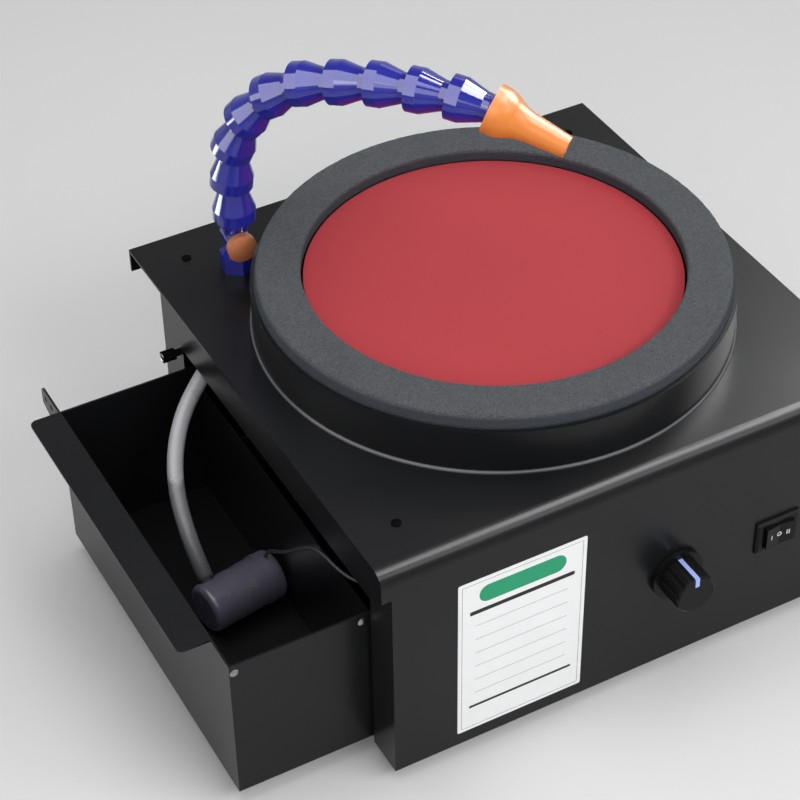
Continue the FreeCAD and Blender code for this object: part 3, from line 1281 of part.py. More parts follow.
def drawer_tank():
    """The open water tank with its handle lip and locking ear."""
    shell = block(DRAWER_LEFT, DRAWER_RIGHT, DRAWER_FRONT, DRAWER_BACK, DRAWER_FLOOR, DRAWER_TOP)
    room = block(
        DRAWER_LEFT + DRAWER_WALL, DRAWER_RIGHT - DRAWER_WALL,
        DRAWER_FRONT + DRAWER_WALL, DRAWER_BACK - DRAWER_WALL,
        DRAWER_FLOOR + DRAWER_WALL, DRAWER_TOP + DRAWER_WALL,
    )
    low_side = block(
        DRAWER_RIGHT - DRAWER_WALL, DRAWER_RIGHT, DRAWER_FRONT + DRAWER_WALL, DRAWER_BACK - DRAWER_WALL,
        DRAWER_FLOOR + DRAWER_INNER_HEIGHT, DRAWER_TOP + DRAWER_WALL,
    )
    return joined(shell.cut([room, low_side]), drawer_lip(), drawer_ear())


def drawer_rivets():
    """Bright rivets at the top corners of the tank's front wall."""
    rivets = []
    head = turned([
        (0, 0), (RIVET_RADIUS, 0), (0, RIVET_HEIGHT, dome_middle(RIVET_RADIUS, 0, RIVET_HEIGHT)),
    ])
    for x in (DRAWER_LEFT + RIVET_LEFT_INSET, DRAWER_RIGHT - RIVET_RIGHT_INSET):
        rivets.append(stood_on(head, Vector(x, DRAWER_FRONT, DRAWER_TOP - RIVET_DROP), Vector(0, -1, 0)))
    return Part.makeCompound(rivets)


def arm_places():
    """The two drawer arms: the bar's first Y and the side that its foot lies on."""
    return ((DRAWER_FRONT + ARM_INSET, 1), (DRAWER_BACK - ARM_INSET - ARM_THICKNESS, -1))


def drawer_arms():
    """Two flat arms behind the tank that stay in the runners when it is pulled out."""
    arms = []
    foot_bottom = RUNNER_TOP + RUNNER_GAP
    for y, side in arm_places():
        bar = block(DRAWER_RIGHT, DRAWER_RIGHT + ARM_LENGTH, y, y + ARM_THICKNESS, ARM_BOTTOM, ARM_TOP)
        foot_y = sorted((y + ARM_THICKNESS / 2, y + ARM_THICKNESS / 2 + side * ARM_FOOT))
        foot = block(DRAWER_RIGHT, DRAWER_RIGHT + ARM_THICKNESS, *foot_y, foot_bottom, ARM_TOP)
        arms.append(joined(bar, foot))
    return Part.makeCompound(arms)


def drawer_runners():
    """Two channels on the base plate that guide the drawer's arms."""
    channels = []
    for y, _ in arm_places():
        y0, y1 = y - RUNNER_GAP - RUNNER_WALL, y + ARM_THICKNESS + RUNNER_GAP + RUNNER_WALL
        bar = block(RUNNER_START, RUNNER_START + RUNNER_LENGTH, y0, y1, BASE_TOP, RUNNER_TOP)
        slot = block(
            RUNNER_START - SHEET, RUNNER_START + RUNNER_LENGTH + SHEET, y0 + RUNNER_WALL, y1 - RUNNER_WALL,
            BASE_TOP + RUNNER_WALL, RUNNER_TOP + SHEET,
        )
        channels.append(bar.cut(slot))
    return Part.makeCompound(channels)


def thumb_screw():
    """The knurled thumb screw beside the tank's opening."""
    neck_start = -THUMB_TIP - SHEET
    screw_body = turned([
        (0, neck_start), (THUMB_NECK_RADIUS, neck_start), (THUMB_NECK_RADIUS, THUMB_NECK),
        (THUMB_RADIUS, THUMB_NECK), (THUMB_RADIUS, THUMB_NECK + THUMB_HEAD), (0, THUMB_NECK + THUMB_HEAD),
    ])
    flute = upright(THUMB_FLUTE_RADIUS, THUMB_RADIUS, 0, THUMB_NECK - SHEET, THUMB_NECK + THUMB_HEAD + SHEET)
    screw_body = screw_body.cut(ring_of(THUMB_FLUTES, flute, Vector(), UP))
    return stood_on(screw_body, Vector(-HALF_CASE, THUMB_Y, THUMB_Z), Vector(-1, 0, 0))


def pump_aim():
    """The unit direction of the pump's axis, towards its end cap."""
    heading = math.radians(PUMP_HEADING)
    return Vector(math.cos(heading), math.sin(heading), 0)


def on_pump_axis(distance):
    """The point on the pump's axis at a distance from its round end."""
    return Vector(PUMP_X, PUMP_Y, PUMP_Z) + pump_aim() * distance


def outlet_aim():
    """The unit direction of the pump's outlet."""
    lean = math.radians(PUMP_OUTLET_LEAN)
    return UP.cross(pump_aim()) * math.sin(lean) + UP * math.cos(lean)


def outlet_root():
    """The point on the pump's axis that its outlet starts from."""
    return on_pump_axis(PUMP_OUTLET_INSET)


def pump_body():
    """The small round pump lying in the tank, with its barbed outlet."""
    length = PUMP_LENGTH - PUMP_CAP_LENGTH
    corner = PUMP_EDGE * (1 - HALF_ROOT)
    bulge = (PUMP_RADIUS - corner, corner)
    body = turned([
        (0, 0), (PUMP_RADIUS - PUMP_EDGE, 0), (PUMP_RADIUS, PUMP_EDGE, bulge),
        (PUMP_RADIUS, length), (0, length),
    ])
    body = stood_on(body, on_pump_axis(0), pump_aim())
    outlet = rod(WATER_HOSE_BORE - BARB_FIT, outlet_root(), outlet_root() + outlet_aim() * PUMP_OUTLET_REACH)
    return joined(body, outlet)


def pump_cap():
    """The pump's slightly wider end cap, where its wire comes out."""
    radius = PUMP_RADIUS + PUMP_CAP_STEP
    corner = PUMP_EDGE * (1 - HALF_ROOT)
    bulge = (radius - corner, PUMP_CAP_LENGTH - corner)
    cap = turned([
        (0, 0), (radius, 0), (radius, PUMP_CAP_LENGTH - PUMP_EDGE),
        (radius - PUMP_EDGE, PUMP_CAP_LENGTH, bulge), (0, PUMP_CAP_LENGTH),
    ])
    return stood_on(cap, on_pump_axis(PUMP_LENGTH - PUMP_CAP_LENGTH), pump_aim())


def water_hose_points():
    """The clear hose's route from the pump's outlet to the elbow's barb."""
    start = outlet_root() + outlet_aim() * (PUMP_OUTLET_REACH - PUMP_OUTLET_GRIP)
    end = elbow_centre() + elbow_aim() * (BARB_LENGTH - BARB_GRIP)
    first_bend = start + outlet_aim() * HOSE_END_RUN
    last_bend = end + elbow_aim() * HOSE_END_RUN
    return [start, first_bend, *WATER_HOSE_ROUTE, last_bend, end]


def wire_points():
    """The pump wire's route from the end cap to the board's terminal block."""
    on_cap = on_pump_axis(PUMP_LENGTH - PUMP_CAP_LENGTH + PUMP_WIRE_INSET)
    start = on_cap + UP * (PUMP_RADIUS + PUMP_CAP_STEP + WIRE_END_GAP)
    terminal_x = BOARD_LEFT + BOARD_MARGIN - WIRE_END_GAP
    end = Vector(terminal_x, BOARD_BACK + TERMINAL_DEPTH / 2, CONTROL_HEIGHT + TERMINAL_HEIGHT / 2)
    return [start, *WIRE_ROUTE, end]


def cord_path(points, name):
    """Straight runs joined by tangent arcs, each as large as its two runs allow."""
    edges = []
    radii = []
    start = points[0]
    for before, corner, after in zip(points, points[1:], points[2:]):
        run_in, run_out = corner - before, after - corner
        half_turn = run_in.getAngle(run_out) / 2
        reach = CORNER_SHARE * min(run_in.Length, run_out.Length)
        radius = reach / math.tan(half_turn)
        arc_start = corner - Vector(run_in).normalize() * reach
        arc_end = corner + Vector(run_out).normalize() * reach
        inwards = ((arc_start + arc_end) * 0.5 - corner).normalize()
        middle = corner + inwards * radius * (1 / math.cos(half_turn) - 1)
        edges.append(Part.LineSegment(start, arc_start).toShape())
        edges.append(Part.Arc(arc_start, middle, arc_end).toShape())
        radii.append(radius)
        start = arc_end
    edges.append(Part.LineSegment(start, points[-1]).toShape())
    print(name, "bend radii", " ".join(f"{radius:.1f}" for radius in radii))
    return Part.Wire(edges)


def cord_tube(path, radius):
    """A round bar swept along a cord's path."""
    first = path.Edges[0]
    start = first.Vertexes[0].Point
    section = Part.Wire(Part.makeCircle(radius, start, first.tangentAt(first.FirstParameter)))
    return path.makePipeShell([section], True, False)


def water_hose():
    """The clear hose from the pump to the valve, with its bore."""
    path = cord_path(water_hose_points(), "water_hose")
    hose = cord_tube(path, WATER_HOSE_RADIUS).cut(cord_tube(path, WATER_HOSE_BORE))
    section = math.pi * (WATER_HOSE_RADIUS ** 2 - WATER_HOSE_BORE ** 2)
    print(f"water_hose length {path.Length:.1f} volume share {hose.Volume / (section * path.Length):.4f}")
    return hose


def pump_wire():
    """The thin wire from the pump to the control board."""
    path = cord_path(wire_points(), "pump_wire")
    wire = cord_tube(path, WIRE_RADIUS)
    section = math.pi * WIRE_RADIUS ** 2
    print(f"pump_wire length {path.Length:.1f} volume share {wire.Volume / (section * path.Length):.4f}")
    return wire


def build():
    """Every sub-part by its name."""
    makers = (
        deck_cover, base_plate, left_side_panel, right_side_panel, back_panel, rubber_feet, case_screws,
        splash_bowl, bowl_seal, housing_screws, drain_spout, deck_nuts, foam_ring, platter, sanding_disc,
        spindle_shaft, platter_screw, bearing_housing, driven_pulley, drive_pulley, spindle_nut, drive_belt,
        motor_body, motor_shaft, motor_bracket, motor_screws, speed_potentiometer, potentiometer_shaft,
        speed_knob, knob_pointer, speed_control_board, board_standoffs, switch_housing, switch_rocker,
        power_inlet, valve_body, valve_handle, valve_elbow, hose_nozzle, drawer_tank, drawer_rivets,
        drawer_arms, drawer_runners, thumb_screw, pump_body, pump_cap, water_hose, pump_wire,
    )
    nodes = {maker.__name__: maker() for maker in makers}
    nodes["upper_bearing"] = bearing(UPPER_BEARING)
    nodes["lower_bearing"] = bearing(LOWER_BEARING)
    for index in range(len(HOSE_TURNS) - 1):
        nodes[f"hose_segment_{index + 1:02d}"] = hose_segment(index)
    return nodes


def main():
    """Write one STEP file for each sub-part."""
    os.makedirs("parts", exist_ok=True)
    for name, shape in build().items():
        shape.exportStep(f"parts/{name}.step")


if __name__ == "__main__":
    main()
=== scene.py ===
"""Looks of the wet grinding sharpener, in metres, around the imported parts.

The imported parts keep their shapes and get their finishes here.  The foam ring, the
clear hose, the pump wire, the front plate, the switch marks and the thumb screw's
bright end are modelled pieces.
"""

import bmesh
import bpy
import json
import math
from mathutils import Matrix, Vector


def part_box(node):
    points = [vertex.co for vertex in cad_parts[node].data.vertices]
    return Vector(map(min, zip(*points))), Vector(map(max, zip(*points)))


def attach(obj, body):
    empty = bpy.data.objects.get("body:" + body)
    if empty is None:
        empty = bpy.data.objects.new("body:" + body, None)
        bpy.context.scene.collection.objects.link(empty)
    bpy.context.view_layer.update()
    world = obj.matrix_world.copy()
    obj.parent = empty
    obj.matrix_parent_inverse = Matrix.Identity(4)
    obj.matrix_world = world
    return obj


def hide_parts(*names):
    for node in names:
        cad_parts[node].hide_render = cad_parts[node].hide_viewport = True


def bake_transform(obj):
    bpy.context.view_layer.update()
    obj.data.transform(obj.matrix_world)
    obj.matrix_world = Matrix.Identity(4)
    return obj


# Camera of the photograph
VIEW_AZIMUTH = math.radians(-28.01)
VIEW_ELEVATION = math.radians(40.69)
VIEW_ROLL = math.radians(-0.98)
VIEW_TARGET = Vector((-0.07797, -0.03975, 0.14778))
VIEW_DISTANCE = 1.16711
LENS = 103.2
SENSOR = 36.0

# Foam splash ring
FOAM_INNER = 0.1012
FOAM_LEAN = 0.0016
FOAM_EDGE = 0.0014
FOAM_EDGE_STEPS = 4
FOAM_CELL = 0.0016
FOAM_CUTS = (3, 3)
FOAM_STEPS = 448
FOAM_ROUGHNESS = 0.0004
FOAM_GRAIN = 0.0028
FOAM_MERGE = 1e-5

# Abrasive disc
DISC_RADIUS = 0.1

# Clear water hose and pump wire
HOSE_RADIUS = 0.0045
HOSE_WALL = 0.0013
HOSE_ROUTE = (
    (-0.1787, -0.0043, 0.0387),
    (-0.1801, 0.0036, 0.0502),
    (-0.1796, 0.0155, 0.0600),
    (-0.1766, 0.0315, 0.0690),
    (-0.1716, 0.0440, 0.0794),
    (-0.1635, 0.0560, 0.0886),
    (-0.1530, 0.0660, 0.0970),
    (-0.1394, 0.0748, 0.1046),
    (-0.1248, 0.0834, 0.1115),
    (-0.1147, 0.0915, 0.1168),
)
WIRE_RADIUS = 0.0010
WIRE_ROUTE = (
    (-0.1444, -0.0073, 0.0410),
    (-0.1443, -0.0115, 0.0486),
    (-0.1439, -0.0195, 0.0546),
    (-0.1433, -0.0295, 0.0620),
    (-0.1424, -0.0405, 0.0724),
    (-0.1415, -0.0515, 0.0830),
    (-0.1410, -0.0615, 0.0916),
    (-0.1404, -0.0720, 0.0960),
    (-0.1392, -0.0830, 0.0954),
    (-0.1356, -0.0940, 0.0944),
    (-0.1270, -0.1044, 0.0936),
    (-0.1130, -0.1128, 0.0930),
    (-0.0950, -0.1198, 0.0916),
    (-0.0750, -0.1248, 0.0890),
    (-0.0540, -0.1286, 0.0856),
    (-0.0320, -0.1306, 0.0810),
    (-0.0106, -0.1319, 0.0753),
)
WATER_FOOT = 0.040
WATER_LEVEL = 0.0747
CORD_SMOOTHNESS = 10
CORD_ROUNDNESS = 8
CORD_MERGE = 1e-6

# Plain printed plate on the front face
PLATE_LEFT = -0.1060
PLATE_RIGHT = -0.0328
PLATE_BOTTOM = 0.0163
PLATE_TOP = 0.1224
PLATE_THICKNESS = 0.00035
PLATE_CORNER = 0.0010
PLATE_CORNER_STEPS = 4
PRINT_THICKNESS = 0.00006
FRAME_INSET = 0.0022
FRAME_LINE = 0.00022
TITLE_WIDTH = 0.0495
TITLE_HEIGHT = 0.0112
TITLE_DROP = 0.0114
TITLE_CORNER = 0.48 * TITLE_HEIGHT
TITLE_CORNER_STEPS = 10
RULE_WIDTH = 0.060
UPPER_RULE_LINE = 0.0026
LOWER_RULE_LINE = 0.0016
UPPER_RULE_DROP = 0.0220
LOWER_RULE_DROP = 0.0893
ROW_COUNT = 6
ROW_INSET = 0.0034
ROW_LINE = 0.00018
LINE_CORNER_STEPS = 2

# Marks on the switch rocker
MARK_HEIGHT = 0.0030
MARK_LINE = 0.0007
MARK_REACH = 0.0052
MARK_GAP = 0.0012
MARK_PROUD = 0.00005
MARK_CUTS = 6
RING_STEPS = 24

# Bright end of the thumb screw
TIP_RADIUS = 0.0024
TIP_PROUD = 0.0006
TIP_RIM = 0.0005
TIP_DISH = 0.0003
TIP_STEPS = 48

# Pieces with edges sharper than this keep them when the rest is smoothed
SMOOTH_ANGLE = math.radians(40)

# Floor and world
FLOOR_SIZE = 8.0
FLOOR_DARK = 0.74
FLOOR_LIGHT = 0.76
HORIZON_GREY = (0.62, 0.62, 0.62)
HORIZON_TOP = 0.25
ZENITH_GREY = (0.18, 0.18, 0.185)
ZENITH_FOOT = 0.8

# Lamps, and panels that only show in glossy faces: place, width and height, watts
LAMP_AIM = Vector((-0.02, 0.0, 0.15))
LAMPS = {
    "overhead": ((-0.15, 0.10, 1.50), (1.20, 1.20), 10.5),
    "back_right": ((0.58, 0.50, 0.85), (0.32, 0.30), 0.36),
    "front_right": ((0.45, -1.10, 1.15), (1.20, 0.40), 10.5),
    "front_left": ((-0.90, -1.30, 1.20), (0.80, 0.80), 6.0),
}
PANELS = {
    "top_panel": ((0.50, -0.28, 1.50), (1.00, 0.45), 24.0),
    "right_panel": ((1.00, 0.10, 0.95), (0.90, 0.70), 55.0),
    "left_panel": ((-0.85, -0.10, 1.00), (1.50, 2.20), 45.0),
    "low_panel": ((-0.62, 0.38, 0.09), (0.35, 0.16), 2.2),
}


class Value:
    """A shader socket that arithmetic can be written with."""

    def __init__(self, socket):
        self.socket = socket

    def math(self, operation, *values):
        return add_node(self.socket.id_data, "Math", {"operation": operation}, dict(enumerate(values)))

    def __add__(self, other):
        return self.math("ADD", self, other)

    __radd__ = __add__

    def __sub__(self, other):
        return self.math("SUBTRACT", self, other)

    def __mul__(self, other):
        return self.math("MULTIPLY", self, other)

    def __truediv__(self, other):
        return self.math("DIVIDE", self, other)

    def __pow__(self, other):
        return self.math("POWER", self, other)


def add_node(tree, kind, settings=None, sockets=None, output=0):
    """Adds a node, sets its settings, then its sockets, and gives one of its outputs."""
    node = tree.nodes.new("ShaderNode" + kind)
    for name, setting in (settings or {}).items():
        if name == "stops":
            set_stops(node.color_ramp.elements, setting)
        else:
            setattr(node, name, setting)
    for name, value in (sockets or {}).items():
        feed(node.inputs[name], value)
    return Value(node.outputs[output])


def set_stops(elements, stops):
    """Gives a ramp its stops, each a place and a grey or colour."""
    while len(elements) < len(stops):
        elements.new(1.0)
    for element, (place, colour) in zip(elements, stops):
        element.position = place
        element.color = (*colour, 1.0)


def feed(socket, value):
    """Sets a socket, or links another socket to it."""
    if isinstance(value, Value):
        socket.id_data.links.new(value.socket, socket)
    elif socket.type == "RGBA":
        socket.default_value = (*value, 1.0)
    else:
        socket.default_value = value


class Finish:
    """A material with one principled shader and the nodes that feed it."""

    def __init__(self, name, sockets):
        self.material = bpy.data.materials.new(name)
        self.material.use_nodes = True
        self.tree = self.material.node_tree
        self.shader = self.tree.nodes["Principled BSDF"]
        self.place = self.node("TexCoord", output="Object")
        self.wear(sockets)

    def node(self, kind, settings=None, sockets=None, output=0):
        return add_node(self.tree, kind, settings, sockets, output)

    def wear(self, sockets):
        """Sets or links the shader's own sockets."""
        for name, value in sockets.items():
            feed(self.shader.inputs[name], value)

    def stretched(self, x, y, z):
        """The place on the piece, stretched so that a pattern runs along one way."""
        return self.node("Mapping", sockets={"Vector": self.place, "Scale": (x, y, z)})

    def noise(self, scale, detail=3.0, place=None):
        """Soft uneven noise from 0 to 1."""
        sockets = {"Vector": place or self.place, "Scale": scale, "Detail": detail}
        return self.node("TexNoise", sockets=sockets)

    def cells(self, scale):
        """Distance to the nearest of many scattered points."""
        return self.node("TexVoronoi", sockets={"Vector": self.place, "Scale": scale})

    def height(self):
        """The height of the place on the piece."""
        return self.node("SeparateXYZ", sockets={"Vector": self.place}, output="Z")

    def ramp(self, share, stops):
        """A colour that runs through stops, each a place from 0 to 1 and a colour."""
        return self.node("ValToRGB", {"stops": stops}, {"Fac": share})

    def mixed(self, share, first, second):
        """A colour between two colours."""
        return self.node("Mix", {"data_type": "RGBA"}, {0: share, 6: first, 7: second}, 2)

    def bumped(self, height, strength, depth):
        """A normal that follows a height."""
        sockets = {"Height": height, "Strength": strength, "Distance": depth}
        return self.node("Bump", sockets=sockets)

    def uneven(self, share, dark, light, smooth, rough):
        """Lets the colour and the roughness follow one pattern."""
        self.wear({"Base Color": self.mixed(share, dark, light), "Roughness": between(share, smooth, rough)})


def between(value, low, high):
    """A share from 0 to 1 turned into a number between two others."""
    return low + value * (high - low)


def black_paint():
    """Satin black powder coat with a faint orange peel and uneven sheen."""
    finish = Finish("black_paint", {"Specular IOR Level": 0.22})
    haze = finish.noise(14.0, 4.0)
    peel = finish.noise(950.0, 2.0)
    finish.uneven(haze, (0.0046, 0.0049, 0.0056), (0.0080, 0.0085, 0.0096), 0.26, 0.33)
    finish.wear({"Normal": finish.bumped(peel, 0.10, 0.0002)})
    return finish.material


def zinc_sheet():
    """Zinc-plated sheet with faint lines along its length."""
    finish = Finish("zinc_sheet", {"Metallic": 1.0})
    lines = finish.noise(60.0, 4.0, finish.stretched(1.0, 30.0, 30.0))
    finish.uneven(lines, (0.46, 0.47, 0.50), (0.62, 0.63, 0.65), 0.28, 0.45)
    return finish.material


def foot_rubber():
    """Dull black rubber."""
    finish = Finish("foot_rubber", {"Specular IOR Level": 0.04})
    grain = finish.noise(700.0)
    finish.uneven(grain, (0.010, 0.010, 0.010), (0.022, 0.022, 0.022), 0.70, 0.90)
    finish.wear({"Normal": finish.bumped(grain, 0.3, 0.0003)})
    return finish.material


def black_screw():
    """Blackened steel of the small screws."""
    finish = Finish("black_screw", {"Specular IOR Level": 0.0})
    stain = finish.noise(420.0)
    finish.uneven(stain, (0.003, 0.003, 0.003), (0.008, 0.008, 0.008), 0.60, 0.80)
    return finish.material


def bright_screw():
    """Bright plated steel."""
    finish = Finish("bright_screw", {"Metallic": 1.0})
    stain = finish.noise(350.0)
    finish.uneven(stain, (0.22, 0.22, 0.23), (0.40, 0.40, 0.41), 0.16, 0.32)
    return finish.material


def foam():
    """Grey open-cell foam, speckled by its pores; its sides are plainer, and painted darker as painted shade
    where less light falls on them.
    """
    finish = Finish("foam", {"Specular IOR Level": 0.08, "Roughness": 0.95})
    pores = finish.cells(1700.0)
    clumps = finish.noise(700.0, 3.0)
    tone = finish.noise(30.0, 2.0)
    speckle = pores * 0.62 + clumps * 0.55
    grey = finish.ramp(speckle + tone * 0.12 - 0.06, (
        (0.20, (0.048, 0.052, 0.056)), (0.48, (0.078, 0.084, 0.091)), (0.80, (0.124, 0.132, 0.142)),
    ))
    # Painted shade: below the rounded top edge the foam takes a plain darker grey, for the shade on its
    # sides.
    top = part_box("foam_ring")[1].z
    upper = (finish.height() - (top - 2 * FOAM_EDGE)) / FOAM_EDGE
    finish.wear({
        "Base Color": finish.mixed(upper, (0.056, 0.061, 0.074), grey),
        "Normal": finish.bumped(pores * 0.7 + clumps * 0.6, 0.9, 0.0012),
    })
    return finish.material


def seal_bead():
    """Smooth sealant bead with a painted highlight: a pale band painted along its middle for the bright line
    of light on it, and dark along both edges so that this line stays thin.
    """
    finish = Finish("seal_bead", {"Specular IOR Level": 0.15})
    cloud = finish.noise(120.0, 3.0)
    low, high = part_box("bowl_seal")
    share = (finish.height() - low.z) / (high.z - low.z) + cloud * 0.10 - 0.05
    # Painted highlight: the pale middle band stands in for the light's bright line on the bead; the dark
    # edges keep it thin.
    dark, pale = (0.012, 0.012, 0.014), (0.120, 0.124, 0.132)
    tone = finish.ramp(share, ((0.20, dark), (0.42, pale), (0.68, pale), (0.90, dark)))
    finish.wear({"Base Color": tone, "Roughness": between(cloud, 0.25, 0.40)})
    return finish.material


def red_abrasive():
    """Red abrasive film with fine grit, darkened towards its rim as painted shade where the foam ring rises
    around it.
    """
    finish = Finish("red_abrasive", {"Specular IOR Level": 0.05})
    grit = finish.noise(2600.0, 2.0)
    cloud = finish.noise(9.0, 3.0)
    radius = finish.node("VectorMath", {"operation": "LENGTH"}, {0: finish.stretched(1, 1, 0)}, "Value")
    # Painted shade: the colour darkens towards the rim, for the shade of the foam ring around the disc.
    rim = (radius / DISC_RADIUS) ** 3.0
    tone = finish.mixed(rim, (0.490, 0.057, 0.066), (0.400, 0.042, 0.051))
    worn = finish.mixed(cloud * 0.35, tone, (0.410, 0.045, 0.054))
    finish.wear({
        "Base Color": finish.mixed(grit * 0.35, worn, (0.300, 0.028, 0.037)),
        "Roughness": between(grit, 0.72, 0.92),
        "Normal": finish.bumped(grit, 0.25, 0.0002),
    })
    return finish.material


def turned_aluminium():
    """Turned aluminium with fine rings about the spindle."""
    finish = Finish("turned_aluminium", {"Metallic": 1.0})
    settings = {"wave_type": "RINGS", "rings_direction": "Z"}
    sockets = {"Vector": finish.place, "Scale": 420.0, "Distortion": 0.4}
    rings = finish.node("TexWave", settings, sockets, "Fac")
    finish.uneven(rings, (0.62, 0.63, 0.64), (0.74, 0.75, 0.76), 0.24, 0.36)
    return finish.material


def shaft_steel():
    """Ground steel."""
    finish = Finish("shaft_steel", {"Metallic": 1.0})
    lines = finish.noise(90.0, 3.0, finish.stretched(1.0, 1.0, 40.0))
    finish.uneven(lines, (0.50, 0.50, 0.51), (0.64, 0.64, 0.65), 0.16, 0.28)
    return finish.material


def motor_case():
    """Dark painted motor can."""
    finish = Finish("motor_case", {"Specular IOR Level": 0.4})
    haze = finish.noise(120.0, 4.0)
    finish.uneven(haze, (0.050, 0.052, 0.058), (0.080, 0.082, 0.090), 0.32, 0.48)
    return finish.material


def belt():
    """Amber polyurethane drive belt."""
    finish = Finish("belt", {"Specular IOR Level": 0.4})
    grain = finish.noise(260.0)
    finish.uneven(grain, (0.26, 0.085, 0.018), (0.38, 0.140, 0.030), 0.42, 0.58)
    return finish.material


def black_plastic():
    """Black moulded plastic with a fine satin grain."""
    finish = Finish("black_plastic", {"Specular IOR Level": 0.14})
    grain = finish.noise(1500.0, 2.0)
    haze = finish.noise(60.0)
    finish.uneven(haze, (0.0022, 0.0022, 0.0026), (0.0044, 0.0044, 0.0050), 0.30, 0.42)
    finish.wear({"Normal": finish.bumped(grain, 0.12, 0.0001)})
    return finish.material


def pointer_blue():
    """Pale blue translucent pointer strip."""
    finish = Finish("pointer_blue", {"Roughness": 0.28})
    cloud = finish.noise(240.0, 2.0)
    finish.wear({"Base Color": finish.mixed(cloud, (0.30, 0.42, 0.98), (0.46, 0.56, 1.0))})
    return finish.material


def control_metal():
    """Pressed steel can of the speed control."""
    finish = Finish("control_metal", {"Metallic": 1.0})
    stain = finish.noise(160.0)
    finish.uneven(stain, (0.42, 0.42, 0.42), (0.56, 0.56, 0.55), 0.30, 0.45)
    return finish.material


def board_green():
    """Green solder mask with faint copper lines under it."""
    finish = Finish("board_green", {"Specular IOR Level": 0.5})
    tracks = finish.node("TexBrick", sockets={
        "Vector": finish.node("Mapping", sockets={"Vector": finish.place, "Rotation": (math.pi / 2, 0, 0)}),
        "Color1": (0.016, 0.105, 0.045), "Color2": (0.020, 0.125, 0.055), "Mortar": (0.045, 0.215, 0.085),
        "Scale": 90.0, "Mortar Size": 0.05,
    })
    haze = finish.noise(80.0)
    finish.wear({"Base Color": tracks, "Roughness": between(haze, 0.25, 0.40)})
    return finish.material


def hose_blue():
    """Glossy ultramarine acetal of the jointed hose."""
    finish = Finish("hose_blue", {"Specular IOR Level": 0.48, "Coat Weight": 0.30, "Coat Roughness": 0.03})
    cloud = finish.noise(55.0, 3.0)
    ripple = finish.noise(160.0, 2.0)
    finish.uneven(cloud, (0.012, 0.013, 0.235), (0.024, 0.026, 0.345), 0.07, 0.12)
    finish.wear({"Normal": finish.bumped(ripple, 0.03, 0.0004)})
    return finish.material


def orange_acetal(name, dark, light):
    """Satin orange acetal."""
    finish = Finish(name, {"Specular IOR Level": 0.32})
    cloud = finish.noise(60.0, 3.0)
    finish.uneven(cloud, dark, light, 0.26, 0.36)
    return finish.material


def hose_orange():
    """The bright orange of the nozzle."""
    return orange_acetal("hose_orange", (0.76, 0.215, 0.036), (0.84, 0.270, 0.058))


def handle_shaded_orange():
    """The nozzle's orange, painted darker for the valve's handle as painted shade, since the handle sits in
    shade.
    """
    return orange_acetal("handle_shaded_orange", (0.46, 0.155, 0.062), (0.54, 0.190, 0.080))


def pump_plastic():
    """Dark violet-grey plastic of the small pump."""
    finish = Finish("pump_plastic", {"Specular IOR Level": 0.45})
    cloud = finish.noise(130.0, 3.0)
    finish.uneven(cloud, (0.085, 0.080, 0.115), (0.125, 0.118, 0.160), 0.20, 0.32)
    return finish.material


def clear_hose():
    """Milky silicone tube, darker up to the level of the water that stands in it."""
    finish = Finish("clear_hose", {"Transmission Weight": 0.22, "IOR": 1.41, "Specular IOR Level": 0.25})
    cloud = finish.noise(70.0, 3.0)
    share = (finish.height() - WATER_FOOT) / (WATER_LEVEL - WATER_FOOT) / 2 + cloud * 0.06 - 0.03
    tone = finish.ramp(share, (
        (0.0, (0.115, 0.113, 0.125)), (0.49, (0.270, 0.268, 0.285)), (0.52, (0.540, 0.540, 0.565)),
    ))
    finish.wear({"Base Color": tone, "Roughness": between(cloud, 0.22, 0.38)})
    return finish.material


def wire_sheath():
    """Grey rubbery sheath of the pump's wire."""
    finish = Finish("wire_sheath", {"Specular IOR Level": 0.2})
    grain = finish.noise(500.0)
    finish.uneven(grain, (0.020, 0.020, 0.023), (0.036, 0.036, 0.040), 0.40, 0.55)
    return finish.material


def printed(name, dark, light):
    """Flat printing ink or film, slightly uneven."""
    finish = Finish(name, {"Specular IOR Level": 0.35})
    cloud = finish.noise(90.0, 3.0)
    finish.uneven(cloud, dark, light, 0.34, 0.46)
    return finish.material


def paint(piece, material):
    """Gives a piece its one material."""
    piece.data.materials.clear()
    piece.data.materials.append(material)


def dress_packed_parts():
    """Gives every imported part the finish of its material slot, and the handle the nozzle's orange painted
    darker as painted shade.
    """
    makers = (
        black_paint, zinc_sheet, foot_rubber, black_screw, bright_screw, foam, seal_bead, red_abrasive,
        turned_aluminium, shaft_steel, motor_case, belt, black_plastic, pointer_blue, control_metal,
        board_green, hose_blue, hose_orange, pump_plastic, clear_hose, wire_sheath,
    )
    finishes = {maker.__name__: maker() for maker in makers}
    for subpart in frame["record"]["subparts"]:
        paint(frame["nodes"][subpart["node"]], finishes[subpart["material_slot"]])
    # Painted shade: the handle gets a darker copy of the nozzle's orange.
    paint(frame["nodes"]["valve_handle"], handle_shaded_orange())
    return finishes


def begin():
    """Deselects everything, so that the next operators act on the new piece alone."""
    bpy.ops.object.select_all(action="DESELECT")


def name_piece(name):
    """Names the object that was just made."""
    piece = bpy.context.object
    piece.name = name
    piece.data.name = name
    return piece


def edit(kind):
    """Opens the active piece in edit mode, to select vertices, edges or faces."""
    bpy.ops.object.mode_set(mode="EDIT")
    bpy.ops.mesh.select_mode(type=kind)


def leave_edit():
    """Closes the piece that is open in edit mode."""
    bpy.ops.object.mode_set(mode="OBJECT")


